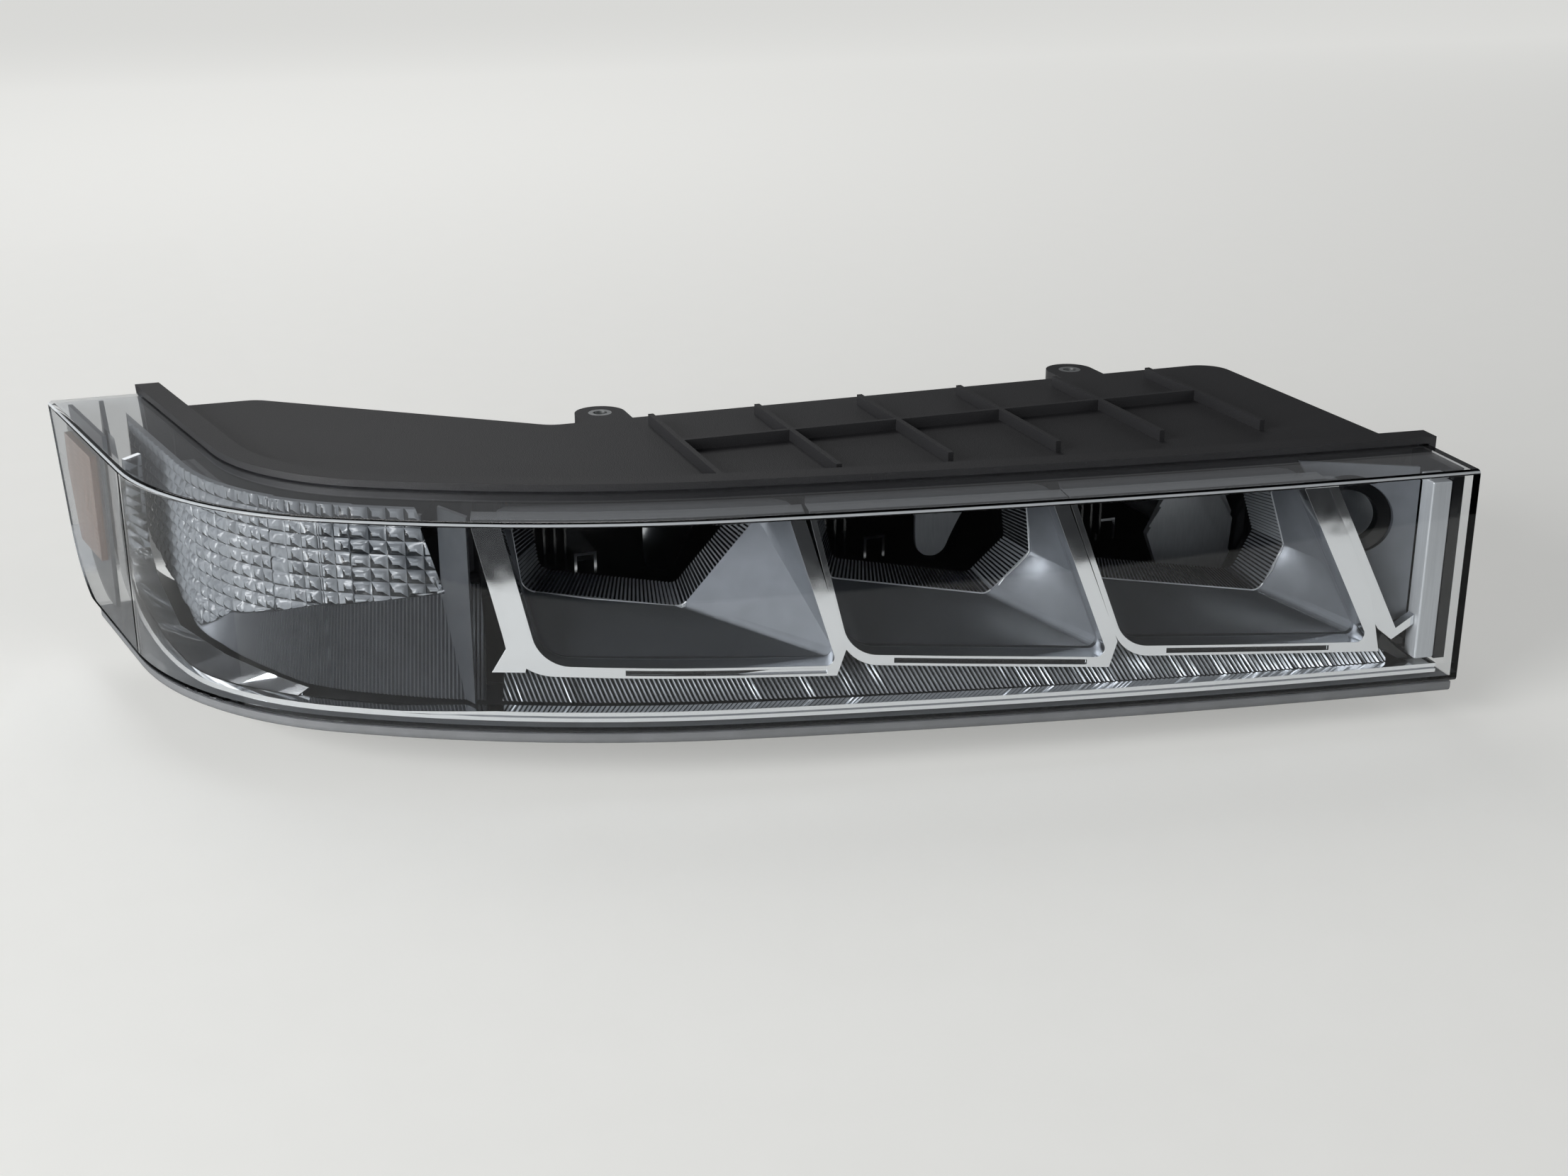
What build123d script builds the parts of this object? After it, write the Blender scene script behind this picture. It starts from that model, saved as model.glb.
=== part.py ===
from build123d import *
from collections import namedtuple
from math import cos, hypot, radians, sin, tan
import os

# A van's right-hand headlamp unit. It is drawn about the upper front edge of its lens: X towards the
# middle of the vehicle, Y rearwards, Z up, from the inboard end of that edge. At the end every piece is
# moved so that the upper inner fixing bore is the origin.
# A place on the lamp's face is a station (length along the plan curve from the inboard end), a depth
# behind the face, and a height. Millimetres and degrees throughout.

# Reach of the cutting volumes, well past the lamp on every side
SPACE = 1000.0
# Gap between pieces that are fixed face to face, and how far pieces of one moulding run into each other
SEAT = 0.3
WELD = 1.0
# Sides of an outline count as one straight line below this sine of the turn between them
STRAIGHT = 0.02
# Smallest radius of a corner that stays round
LEAST_ROUND = 0.5

# Plan curve of the lens
START_TURN = 5.0
Arc = namedtuple("Arc", "end_turn radius")
FACE_ARCS = (
    Arc(11.0, 3000.0),
    Arc(30.0, 505.0),
    Arc(79.0, 147.0),
)
EXTENSION = 80.0

# Lens and rim
LENS_WALL = 2.6
INBOARD_END = -8.0
LENS_RETURN = 47.0
LENS_HEIGHT = 97.0
BOTTOM_SLOPE = -0.018
TAIL_SLANT = 0.34
TAIL_Y = 330.0
TAIL_RADIUS = 46.0
TAIL_FLOOR = -88.0
EDGE_ROUND = 2.2
GROOVE_GAP = 0.5
GROOVE_FRONT = 41.0
SEAL_DEPTH = 1.6
SEAL_MARGIN = 0.05
RIM_WALL = 3.0
RIM_BACK = 52.0
GASKET_HEIGHT = 5.0
GASKET_START = -6.0
GASKET_SETBACK = 60.0
GASKET_FRONT = 1.0
GASKET_BACK = 18.0
GASKET_ROUND = 2.4

# Housing
TRAY_WALL = 3.0
TRAY_TOP = -2.0
TRAY_RISE = 2.0
TRAY_INBOARD = 6.0
TRAY_BACK = 212.0
TRAY_BEND = -345.0
TRAY_TAIL_X = -468.0
TRAY_TAIL_SETBACK = 24.0
TRAY_TAIL_BACK = TAIL_Y - TRAY_TAIL_SETBACK
TRAY_TAIL_SIDE = -512.0
TRAY_CORNER = 14.0
TRAY_SIDE_CORNER = 5.0
TRAY_OPEN_DEPTH = 45.0

# Bezel: front and back of the bright frames, walls of the scoops and depth of the apertures
FRAME_FRONT = 9.0
FRAME_BACK = 19.0
SCOOP_STRAIGHT = 22.5
APERTURE_DEPTH = 40.0
SCOOP_WALL = 1.8
BEZEL_TOP = -3.2
COLLAR_BACK = 60.0
COLLAR_SHARE = 0.86
COLLAR_WALL = 1.6
BLADE_WIDTH = 6.0
ELBOW_RISE = 13.0
ELBOW_RUN = 8.0
LAST_RISE = 34.0
LAST_RUN = 9.0
THIN_EDGE = 2.4
RAIL = 4.6
SLOT_INSET = 1.2
SLOT_HEIGHT = 2.2
SLOT_DEPTH = 1.6
TOP_EDGE = 1.0
FIRST_BLADE = 11.5
LAST_BLADE = 10.0

# Each bay is drawn in a plane that touches the face at its own station: u towards the inboard end, v up.
# Corners run anticlockwise from the top left: (u, v, corner radius)
Bay = namedtuple("Bay", "station opening aperture")
BAYS = (
    Bay(340.0,
        ((-67.7, -4.2, 0.0), (-54.3, -63.2, 16.0), (67.2, -68.3, 3.5), (65.5, -62.9, 0.0), (47.2, -4.2, 0.0)),
        ((-65.0, -8.0, 0.0), (-61.0, -40.5, 7.0), (5.0, -50.2, 5.0), (36.5, -11.7, 0.0), (39.5, -8.0, 0.0))),
    Bay(220.0,
        ((-61.2, -4.2, 0.0), (-46.5, -63.8, 16.0), (65.5, -73.4, 3.5), (52.0, -39.0, 0.0), (38.1, -4.2, 0.0)),
        ((-57.0, -8.0, 0.0), (-50.0, -40.5, 5.0), (20.0, -52.6, 5.0), (38.5, -34.5, 0.0), (35.5, -8.0, 0.0))),
    Bay(112.0,
        ((-59.8, -4.2, 0.0), (-35.0, -69.0, 16.0), (79.2, -77.4, 3.5), (61.2, -43.0, 0.0), (41.5, -4.2, 0.0)),
        ((-54.0, -8.0, 0.0), (-38.5, -48.5, 4.0), (40.0, -61.0, 5.0), (50.0, -40.0, 0.0), (39.5, -8.0, 0.0))),
)
# The first blade's foot kicks outboard; drawn in the first bay's plane
FIRST_FOOT = ((-69.9, -46.0, 0.0), (-67.9, -56.0, 0.0), (-74.0, -66.3, 0.0), (-60.5, -66.3, 0.0),
              (-56.0, -46.0, 0.0))

# Inboard end of the bezel
END_STATION = 20.0
END_OPENING = ((-34.0, -4.2, 0.0), (1.2, -73.0, 0.0), (9.7, -67.5, 0.0), (9.7, -4.2, 0.0))
END_TRIM = ((-52.0, -4.2, 0.0), (-7.5, -72.5, 0.0), (-0.4, -78.2, 0.0), (9.7, -71.8, 0.0),
            (9.7, -4.2, 0.0))
END_TRIM_FRONT = 11.0
END_TRIM_BACK = 15.5
END_PANEL_LAP = 2.0
END_PANEL_WALL = 1.8
END_PANEL_LEFT_DEPTH = 38.0
END_PANEL_RIGHT_DEPTH = 17.6
END_WEDGE = ((-5.4, -74.6, 0.0), (-7.5, -81.0, 0.0), (4.0, -87.6, 0.0), (9.4, -87.6, 0.0),
             (-0.6, -79.4, 0.0))
END_LAMP_U = -16.0
END_LAMP_V = -26.5
END_LAMP_RADIUS = 17.0
END_RING_WALL = 5.0
END_RING_DEPTH = 4.0
END_CUP_BACK = 60.0
END_CUP_WALL = 1.6
BAR_LEFT = 10.0
BAR_RIGHT = 0.6
BAR_TOP = -6.0
BAR_FRONT = 7.5
BAR_BACK = 17.0
BAR_FOOT = -87.2
BAR_ROUND = 1.0
BLACK_END_FRONT = 8.0
BLACK_END_BACK = GROOVE_FRONT - SEAT
BLACK_END_GAP = 0.4
BLACK_END_FOOT = -88.0

# Bright bead round the lower and outboard edge, and the bevel that leads from it into the corner
TRIM_LEFT = -538.5
TRIM_RADIUS = 32.0
TRIM_RISE = 3.8
TRIM_WIDTH = 4.2
TRIM_CORNER_WIDTH = 2.4
TRIM_TAPER = (-440.0, -405.0)
TRIM_FRONT = 5.0
TRIM_BACK = 12.0
TRIM_GROOVE = 1.0
TRIM_GROOVE_INSET = 1.6
BEVEL_WALL = 1.8
Bevel = namedtuple("Bevel", "outer outer_depth outer_height inner inner_depth inner_height")
BEVEL = (
    Bevel(628.0, 8.5, -5.0, 634.0, 17.0, -5.0),
    Bevel(635.0, 8.5, -30.0, 639.0, 17.5, -31.0),
    Bevel(638.0, 8.5, -47.0, 640.0, 18.0, -48.0),
    Bevel(633.0, 8.5, -61.5, 628.0, 18.0, -61.0),
    Bevel(611.0, 8.5, -73.0, 597.0, 18.0, -72.0),
    Bevel(567.0, 8.5, -80.4, 550.0, 16.5, -73.5),
    Bevel(536.0, 8.5, -82.4, 521.0, 14.7, -76.0),
    Bevel(504.5, 8.5, -83.4, 499.0, 14.0, -79.4),
)
SKIRT_INSET = -1.2
SKIRT_WALL = 2.2

# Ribs of the dark surfaces: how far apart, how deep, and how far outboard they lean from foot to head
Ribs = namedtuple("Ribs", "spacing fold shift")
STRIP_RIBS = Ribs(2.05, 0.95, 13.0)
SURROUND_RIBS = Ribs(1.7, 0.7, 0.0)
COLLAR_RIBS = Ribs(1.8, 0.5, 0.0)
# Every so many folds the plain back of a ribbed wall has a corner
RIB_BACK_STEP = 4

# Ribbed strip under the frames
STRIP_START = 22.0
STRIP_END = 413.0
STRIP_FOOT = -92.0
STRIP_HEAD = -68.0
STRIP_LOW_DEPTH = 8.0
STRIP_HIGH_DEPTH = 24.0
STRIP_WALL = 2.4
STRIP_SCRAP = 400.0

# Turn signal
TURN_DEPTH = 24.0
TURN_WALL = 3.0
TURN_GROOVE = 1.0
TURN_GROOVE_WIDTH = 2.2
TURN_CORNER_RADIUS = 18.0
TURN_SHOULDER_RADIUS = 6.0
TURN_FLOOR_RADIUS = 60.0
TURN_TIP_RADIUS = 2.0
TURN_END_RADIUS = 1.5
TURN_ROW = 6.0
TURN_COLUMN = 8.5
TURN_RIGHT = -418.0
TURN_TOP_RIGHT = -427.0
TURN_TOP = -4.6
TURN_RIGHT_FOOT = -38.0
TURN_MID_X = -470.0
TURN_MID_Z = -47.5
TURN_LEFT_FOOT_X = -511.0
TURN_LEFT_FOOT_Z = -74.0
TURN_SHOULDER_X = -498.0
TURN_SHOULDER_Z = -58.5
TURN_LEFT = -528.5
TURN_LEFT_MID_Z = -50.0
TURN_START = 430.0
Block = namedtuple("Block", "start setback")
TURN_BLOCKS = (
    Block(TURN_START, 0.0),
    Block(478.0, 1.0),
    Block(523.0, 2.0),
)
TURN_END_SETBACK = 30.0

# Dark surround of the turn signal: depth at the foot and at the head of its leaning floor
SURROUND_FOOT = -92.0
SURROUND_HEAD = -34.0
SURROUND_WALL = 2.4
Lean = namedtuple("Lean", "station foot_depth head_depth")
SURROUND_LEAN = (
    Lean(420.0, 11.5, 24.5),
    Lean(438.0, 12.0, 24.9),
    Lean(473.0, 13.0, 26.0),
    Lean(514.0, 14.5, 28.5),
    Lean(549.0, 16.0, 31.5),
    Lean(607.0, 19.0, 42.0),
)
# Outer limit of the surround in front view, from the outboard end: X, height, corner radius
SURROUND_EDGE = ((-519.5, -74.5, 0.0), (-503.0, -73.2, 0.0), (-487.1, -76.0, 0.0), (-473.2, -79.2, 0.0),
                 (-455.4, -80.2, 0.0), (-426.9, -80.8, 0.0), (-404.0, -80.9, 0.0))
PILLAR_STATION = 439.0
PILLAR_FRONT_STATION = 423.5
PILLAR_STEP = 1.0
PILLAR_WALL = 3.3

# Bright chamber and bulb of the turn signal
CHAMBER_BACK = 92.0
CHAMBER_WALL = 2.0
CHAMBER_START = 448.0
CHAMBER_END = 628.0
CHAMBER_TOP = -9.0
CHAMBER_FLOOR = -64.0
CHAMBER_BORE = 14.0
CHAMBER_BORE_REACH = 90.0
BULB_SHARE = 0.52
BULB_Z = -38.0
BULB_RADIUS = 9.5
BULB_LENGTH = 36.0
BULB_TIP = 6.0
BULB_TIP_RADIUS = 4.5
HOLDER_RADIUS = 16.0
HOLDER_FLANGE = 21.0
HOLDER_STEM = 14.0
HOLDER_FLANGE_WALL = 5.0
HOLDER_GRIP = 12.0
HOLDER_GRIP_RADIUS = 12.0
HOLDER_WING = 5.0

# Outboard side
REFLEX_SETBACK = 66.0
REFLEX_LENGTH = 50.0
REFLEX_TOP = -12.0
REFLEX_FOOT = -62.0
REFLEX_FRONT = 5.0
REFLEX_WALL = 3.0
SIDE_PANEL_WALL = 2.0
SIDE_PANEL_MARGIN = 6.0

# Beam units on their tilting frame; the source's place is given from the unit's middle
Unit = namedtuple("Unit", "x front source")
UNITS = (
    Unit(-333.0, 124.0, -16.6),
    Unit(-213.0, 102.0, -9.8),
    Unit(-94.0, 89.0, -20.0),
)
UNIT_HALF_WIDTH = 47.0
UNIT_TOP = -16.0
UNIT_FOOT = -77.0
UNIT_WALL = 2.2
UNIT_BACK = 168.0
UNIT_CORNER = 8.0
SLATS = 4
SLAT_LEFT = 5.5
SLAT_PITCH = 4.6
SLAT_WALL = 1.0
SLAT_FOOT = -44.0
SLAT_SETBACK = 6.0
SLAT_DEPTH = 22.0
FRAME_PLATE = 4.0
PLATE_INSET = 3.0
CHEEK_WALL = 4.0
CHEEK_HALF = 9.0
SINK_GAP = 2.0
SINK_DEPTH = 22.0
SINK_FIN = 1.6
SINK_FINS = 9
SINK_HALF_WIDTH = 26.0
SINK_BASE = 3.0
SINK_HALF_HEIGHT = 22.0
# Reflectors: outlines from each unit's middle, X and height, anticlockwise from the top left
LOBE = ((8.5, -19.0, 0.0), (8.5, -49.0, 7.0), (21.0, -51.0, 8.0), (36.0, -24.0, 3.0), (37.0, -19.0, 0.0))
LOBE_SETBACK = 12.0
LOBE_RADIUS = 70.0
LOBE_WALL = 1.8
OCTAGON = ((9.0, -28.0, 1.0), (-1.0, -47.6, 2.0), (8.5, -71.5, 1.0), (39.0, -73.0, 2.0), (43.5, -60.0, 2.0),
           (43.5, -41.0, 2.0), (37.0, -28.0, 2.0))
OCTAGON_SETBACK = 10.0
FACETS = 8
FACET_WIDTH = 9.0
FACET_RISE = 1.8
FACET_WALL = 2.2
FACET_LEAN = 33.0
STEM_RADIUS = 5.0
SOURCE_SIZE = 10.0
SOURCE_TOP = -39.5
SOURCE_WALL = 1.2
SOURCE_SETBACK = 14.0
AXIS_Y = 137.0
AXIS_Z = -46.0
PIVOT_RADIUS = 4.0
PIVOT_CLEARANCE = 0.06
PIVOT_BLOCK = 12.0
PIVOT_ARM = 3.5
PIVOT_EYE = 8.0
PIVOT_OFFSET = 14.0
PIVOT_REACH = 22.0
AIM_X = -158.0
AIM_Z = -24.0
AIM_SCREW_RADIUS = 3.0
AIM_BALL_RADIUS = 4.5
AIM_BALL_SLOPE = 2.4
AIM_CUP_RADIUS = 7.2
AIM_CUP_WALL = 2.0
AIM_BALL_Y = 184.0
AIM_KNOB_RADIUS = 11.0
AIM_KNOB_LENGTH = 12.0
AIM_BOSS = 3.0
AIM_BOSS_RADIUS = 8.0

# Rear of the housing
EAR_THICKNESS = 8.0
EAR_RADIUS = 12.0
EAR_REACH = 14.0
FLANGE_WALL = 3.0
FLANGE_DROP = 26.0
GUSSET = 9.0
GUSSET_WALL = 2.5
BUSH_OUTER = 5.6
BUSH_BORE = 3.3
BUSH_FIT = 0.02
UPPER_INNER_X = -70.0
UPPER_OUTER_X = -318.0
OUTER_EAR_X = -486.0
OUTER_EAR_Z = -45.0
LOWER_X = -205.0
LOWER_DROP = 13.0
LOWER_LAP = 17.0
PIN_RADIUS = 5.0
PIN_LENGTH = 14.0
PIN_X = -262.0
PIN_Z = -60.0
DRIVER_X = -90.0
DRIVER_WIDTH = 84.0
DRIVER_HEIGHT = 50.0
DRIVER_DEPTH = 18.0
DRIVER_Z = -60.0
DRIVER_FIN = 2.0
DRIVER_FINS = 11
DRIVER_BODY = 9.0
PLUG_X = -205.0
PLUG_Z = -50.0
PLUG_WIDTH = 34.0
PLUG_HEIGHT = 20.0
PLUG_DEPTH = 20.0
PLUG_WALL = 2.0
PLUG_FLOOR = 4.0
PLUG_FLANGE = 4.0
PLUG_FLANGE_WALL = 3.0
VENT_RADIUS = 9.0
VENT_LENGTH = 12.0
VENT_FOOT = 5.5
VENT_PLACES = ((-24.0, -24.0), (-290.0, -28.0))
ROOF_RIB_START = -40.0
ROOF_RIB_FRONT = 92.0
ROOF_RIB_WALL = 2.5
ROOF_RIB_HEIGHT = 5.0
ROOF_RIB_PITCH = 52.0
ROOF_RIBS = 6
ROOF_BEAM_Y = 150.0

Run = namedtuple("Run", "start length turn radius x y")


def face_runs():
    """The plan curve as straight and round runs, from an extension past its inboard end."""
    turn = radians(START_TURN)
    x, y, start = 0.0, 0.0, 0.0
    runs = [Run(-EXTENSION, EXTENSION, turn, None, EXTENSION * cos(turn), -EXTENSION * sin(turn))]
    for arc in FACE_ARCS:
        end_turn = radians(arc.end_turn)
        length = arc.radius * (end_turn - turn)
        runs.append(Run(start, length, turn, arc.radius, x, y))
        x += arc.radius * (sin(turn) - sin(end_turn))
        y += arc.radius * (cos(turn) - cos(end_turn))
        start += length
        turn = end_turn
    length = (TAIL_Y - y) / sin(turn)
    runs.append(Run(start, length + EXTENSION, turn, None, x, y))
    return runs


RUNS = face_runs()
TIP = RUNS[-1].start + RUNS[-1].length - EXTENSION


def face_at(station):
    """Point and turn of the plan curve at a station."""
    run = [r for r in RUNS if r.start <= station][-1]
    along = station - run.start
    if run.radius is None:
        return run.x - along * cos(run.turn), run.y + along * sin(run.turn), run.turn
    turn = run.turn + along / run.radius
    x = run.x + run.radius * (sin(run.turn) - sin(turn))
    y = run.y + run.radius * (cos(run.turn) - cos(turn))
    return x, y, turn


def spot(station, depth, height=0.0):
    """The place on the lamp at a station, a depth behind its face and a height."""
    x, y, turn = face_at(station)
    return Vector(x + depth * sin(turn), y + depth * cos(turn), height)


def curve(start, end, depth):
    """Edges along the plan curve from one station to another, a depth behind the face."""
    edges = []
    for run in RUNS:
        low = max(start, run.start)
        high = min(end, run.start + run.length)
        if high <= low:
            continue
        ends = spot(low, depth), spot(high, depth)
        if run.radius is None:
            edges.append(Edge.make_line(*ends))
        else:
            edges.append(Edge.make_three_point_arc(ends[0], spot((low + high) / 2, depth), ends[1]))
    return edges


def strip_face(start, end, front, back):
    """Plan of a strip that follows the face between two depths."""
    first = Edge.make_line(spot(start, front), spot(start, back))
    last = Edge.make_line(spot(end, front), spot(end, back))
    return Face(Wire([first, last] + curve(start, end, front) + curve(start, end, back)))


def wall(start, end, front, back, low, high):
    """Upright wall that follows the face."""
    plan = strip_face(start, end, front, back)
    return Pos(0, 0, low) * extrude(plan, amount=high - low, dir=(0, 0, 1))


def behind(depth, low, high):
    """All the space behind the curve at a depth."""
    start, end = INBOARD_END - EXTENSION / 2, TIP + EXTENSION / 2
    first, last = spot(start, depth), spot(end, depth)
    far_left, far_right = Vector(last.X, SPACE), Vector(first.X, SPACE)
    lines = [Edge.make_line(last, far_left), Edge.make_line(far_left, far_right),
             Edge.make_line(far_right, first)]
    plan = Face(Wire(curve(start, end, depth) + lines))
    return Pos(0, 0, low) * extrude(plan, amount=high - low, dir=(0, 0, 1))


def ribbed_wall(leans, foot, head, thickness, ribs):
    """Leaning wall whose front is folded into fine ribs that run from its foot to its head."""
    first, last = leans[0].station, leans[-1].station
    folds = 2 * round((last - first) / ribs.spacing)
    faces = []
    for height, pick, shift in ((foot, 1, 0.0), (head, 2, ribs.shift)):
        front = []
        back = []
        for index in range(folds + 1):
            station = first + (last - first) * index / folds
            low = [lean for lean in leans if lean.station <= station + SEAT][-1]
            high = [lean for lean in leans if lean.station >= station - SEAT][0]
            share = 0.0 if high is low else (station - low.station) / (high.station - low.station)
            depth = low[pick] + (high[pick] - low[pick]) * share
            front.append(spot(station + shift, depth + ribs.fold * (index % 2), height))
            back.append(spot(station + shift, depth + thickness, height))
        faces.append(Face(Wire.make_polygon(front + back[::-RIB_BACK_STEP] + back[:1])))
    return loft(faces, ruled=True)


def ribbon(rows, thickness):
    """Strip between an outer and an inner line of places, thickened away from its visible side."""
    outer = [spot(row.outer, row.outer_depth, row.outer_height) for row in rows]
    inner = [spot(row.inner, row.inner_depth, row.inner_height) for row in rows]
    sections = []
    for index, (near, far) in enumerate(zip(outer, inner)):
        along = outer[min(index + 1, len(outer) - 1)] - outer[max(index - 1, 0)]
        back = (far - near).cross(along).normalized() * thickness
        sections.append(Face(Wire.make_polygon([near, far, far + back, near + back])))
    return loft(sections, ruled=True)


def rounded(body, depth, heights, radius):
    """Body with the edges rounded that follow the face at a depth and at a height given for each X."""
    line = Wire(curve(INBOARD_END - EXTENSION / 2, TIP + EXTENSION / 2, depth))
    picked = []
    for edge in body.edges():
        middle = edge @ 0.5
        level = abs(middle.Z - heights(middle.X)) < SEAL_MARGIN
        if level and line.distance_to(Vector(middle.X, middle.Y, 0)) < SEAL_MARGIN:
            picked.append(edge)
    return fillet(picked, radius=radius) if picked else body


def outline(corners):
    """Face with straight sides between (x, y, radius) corners, each rounded by its radius."""
    edges = []
    joints = []
    for before, here, after in zip(corners[-1:] + corners[:-1], corners, corners[1:] + corners[:1]):
        point = Vector(here[0], here[1])
        if here[2] <= 0:
            joints.append((point, point))
            continue
        back = (Vector(before[0], before[1]) - point).normalized()
        ahead = (Vector(after[0], after[1]) - point).normalized()
        half = radians(back.get_angle(ahead)) / 2
        middle = (back + ahead).normalized()
        first = point + back * (here[2] / tan(half))
        last = point + ahead * (here[2] / tan(half))
        top = point + middle * (here[2] / sin(half) - here[2])
        edges.append(Edge.make_three_point_arc(first, top, last))
        joints.append((first, last))
    for (_, start), (end, _) in zip(joints, joints[1:] + joints[:1]):
        edges.append(Edge.make_line(start, end))
    return Face(Wire(edges))


def grown(corners, margins):
    """Corners of an anticlockwise outline with each side moved out by its margin."""
    count = len(corners)
    sides = []
    for index in range(count):
        ax, ay, _ = corners[index]
        bx, by, _ = corners[(index + 1) % count]
        length = hypot(bx - ax, by - ay)
        nx, ny = (by - ay) / length, (ax - bx) / length
        sides.append((ax + nx * margins[index], ay + ny * margins[index], (bx - ax) / length,
                      (by - ay) / length))
    moved = []
    for index in range(count):
        px, py, pdx, pdy = sides[index - 1]
        qx, qy, qdx, qdy = sides[index]
        cross = pdx * qdy - pdy * qdx
        if abs(cross) < STRAIGHT:
            x, y = qx, qy
        else:
            t = ((qx - px) * qdy - (qy - py) * qdx) / cross
            x, y = px + pdx * t, py + pdy * t
        radius = corners[index][2]
        extra = min(margins[index - 1], margins[index])
        moved.append((x, y, max(radius + extra, LEAST_ROUND) if radius > 0 else 0.0))
    return tuple(moved)


def even(corners, margin):
    """An outline grown by the same margin all round."""
    return grown(corners, (margin,) * len(corners))


def bay_plane(station, depth):
    """Plane that touches the face at a station, moved a depth behind it."""
    _, _, turn = face_at(station)
    place = spot(station, depth)
    return Plane(origin=place, x_dir=(cos(turn), -sin(turn), 0), z_dir=(-sin(turn), -cos(turn), 0))


def prism(station, corners, front, back):
    """Straight prism of an outline between two depths of a bay's plane."""
    face = bay_plane(station, front) * outline(corners)
    _, _, turn = face_at(station)
    return extrude(face, amount=back - front, dir=(sin(turn), cos(turn), 0))


def tapering(station, front_face, front, back_face, back):
    """Tapering solid from one face, drawn in a bay's plane, to another, deeper one."""
    faces = bay_plane(station, front) * front_face, bay_plane(station, back) * back_face
    return loft(faces, ruled=True)


def funnel(station, front_corners, front, back_corners, back):
    """Tapering solid from one outline to another, deeper one."""
    return tapering(station, outline(front_corners), front, outline(back_corners), back)


def fluted(corners, count, fold):
    """Places along an outline that is folded outwards into a number of fine ribs."""
    line = outline(corners).outer_wire()
    points = []
    for index in range(2 * count):
        at = line.length * index / (2 * count)
        place = line.position_at(at, position_mode=PositionMode.LENGTH)
        along = line.tangent_at(at, position_mode=PositionMode.LENGTH)
        points.append(place + Vector(along.Y, -along.X) * fold * (index % 2))
    return points


def clipped(corners, index, run, rise):
    """Corners with one cut off: a run before it and a rise after it along the sides."""
    before, here, after = (Vector(*corners[i % len(corners)][:2]) for i in (index - 1, index, index + 1))
    first = here + (before - here).normalized() * run
    last = here + (after - here).normalized() * rise
    return corners[:index] + ((first.X, first.Y, 0.0), (last.X, last.Y, 0.0)) + corners[index + 1:]


def front_prism(face, near=-SPACE, far=SPACE):
    """A front-view outline, drawn in X and Z, carried right through the lamp from front to back."""
    plane = Plane(origin=(0, near, 0), x_dir=(1, 0, 0), z_dir=(0, -1, 0))
    return extrude(plane * face, amount=far - near, dir=(0, 1, 0))


def floor_at(x, rise=0.0):
    """Height of the lens's sloping lower edge at a place across the vehicle."""
    return -LENS_HEIGHT + BOTTOM_SLOPE * x + rise


def front_outline(left, radius, rise):
    """Front view bounded below by the sloping floor and at the outboard side by a rounded corner."""
    return outline(((left, SPACE, 0.0), (left, floor_at(left, rise), radius),
                    (SPACE, floor_at(SPACE, rise), 0.0), (SPACE, SPACE, 0.0)))


def side_outline(gap):
    """Side view of the lamp, in Y and Z, with its slanted tail and round lower rear corner."""
    tail, foot = TAIL_Y - gap, TAIL_FLOOR + gap
    end = tail + TAIL_SLANT * foot
    waist = end - 2 * TAIL_RADIUS
    return outline(((-SPACE, SPACE, 0.0), (-SPACE, -SPACE, 0.0), (waist, -SPACE, 0.0), (waist, foot, 0.0),
                    (end, foot, TAIL_RADIUS - gap), (tail + TAIL_SLANT * SPACE, SPACE, 0.0)))


def envelope(gap, front, back):
    """The lamp's outer form, shrunk by a gap, between two depths."""
    body = wall(INBOARD_END + gap, TIP + EXTENSION / 2, front, back, -SPACE, -gap)
    body &= front_prism(front_outline(-SPACE, 0.0, gap))
    plane = Plane(origin=(-SPACE, 0, 0), x_dir=(0, 1, 0), z_dir=(1, 0, 0))
    return body & extrude(plane * side_outline(gap), amount=2 * SPACE, dir=(1, 0, 0))


def rod(start, end, radius):
    """Round rod between two points."""
    along = Vector(*end) - Vector(*start)
    return Solid.make_cylinder(radius, along.length, Plane(origin=start, z_dir=along.normalized()))


def block(x, y, z):
    """Block between (low, high) pairs in X, Y and Z."""
    size = x[1] - x[0], y[1] - y[0], z[1] - z[0]
    return Pos(x[0] + size[0] / 2, y[0] + size[1] / 2, z[0] + size[2] / 2) * Box(*size)


def outer_lens():
    """Clear moulded cover whose leg enters the housing's groove."""
    shell = envelope(0.0, 0.0, LENS_RETURN)
    shell = rounded(shell, 0.0, lambda x: 0.0, EDGE_ROUND)
    shell = rounded(shell, 0.0, floor_at, EDGE_ROUND)
    return shell - envelope(LENS_WALL, LENS_WALL, LENS_RETURN + LENS_WALL)


def lens_seal():
    """Bead of sealant at the bottom of the groove, behind the lens's leg."""
    bead = envelope(SEAL_MARGIN - GROOVE_GAP, LENS_RETURN, LENS_RETURN + SEAL_DEPTH - SEAL_MARGIN)
    inside = envelope(LENS_WALL + GROOVE_GAP - SEAL_MARGIN, GROOVE_FRONT, RIM_BACK)
    bead -= inside
    return bead


def tray_plan(inset):
    """Plan of the housing behind the rim, moved in by a wall."""
    corners = ((TRAY_INBOARD, -SPACE, 0.0), (TRAY_INBOARD, TRAY_BACK, TRAY_CORNER),
               (TRAY_BEND, TRAY_BACK, TRAY_CORNER), (TRAY_TAIL_X, TRAY_TAIL_BACK, TRAY_CORNER),
               (TRAY_TAIL_SIDE, TRAY_TAIL_BACK, TRAY_SIDE_CORNER), (TRAY_TAIL_SIDE, -SPACE, 0.0))
    return outline(even(corners, -inset))


def tray_body(inset, front, low, high):
    """Housing volume behind a depth of the face."""
    body = Pos(0, 0, -SPACE) * extrude(tray_plan(inset), amount=SPACE + high, dir=(0, 0, 1))
    body &= behind(front, -SPACE, SPACE)
    return body & front_prism(front_outline(-SPACE, 0.0, low))


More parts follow.
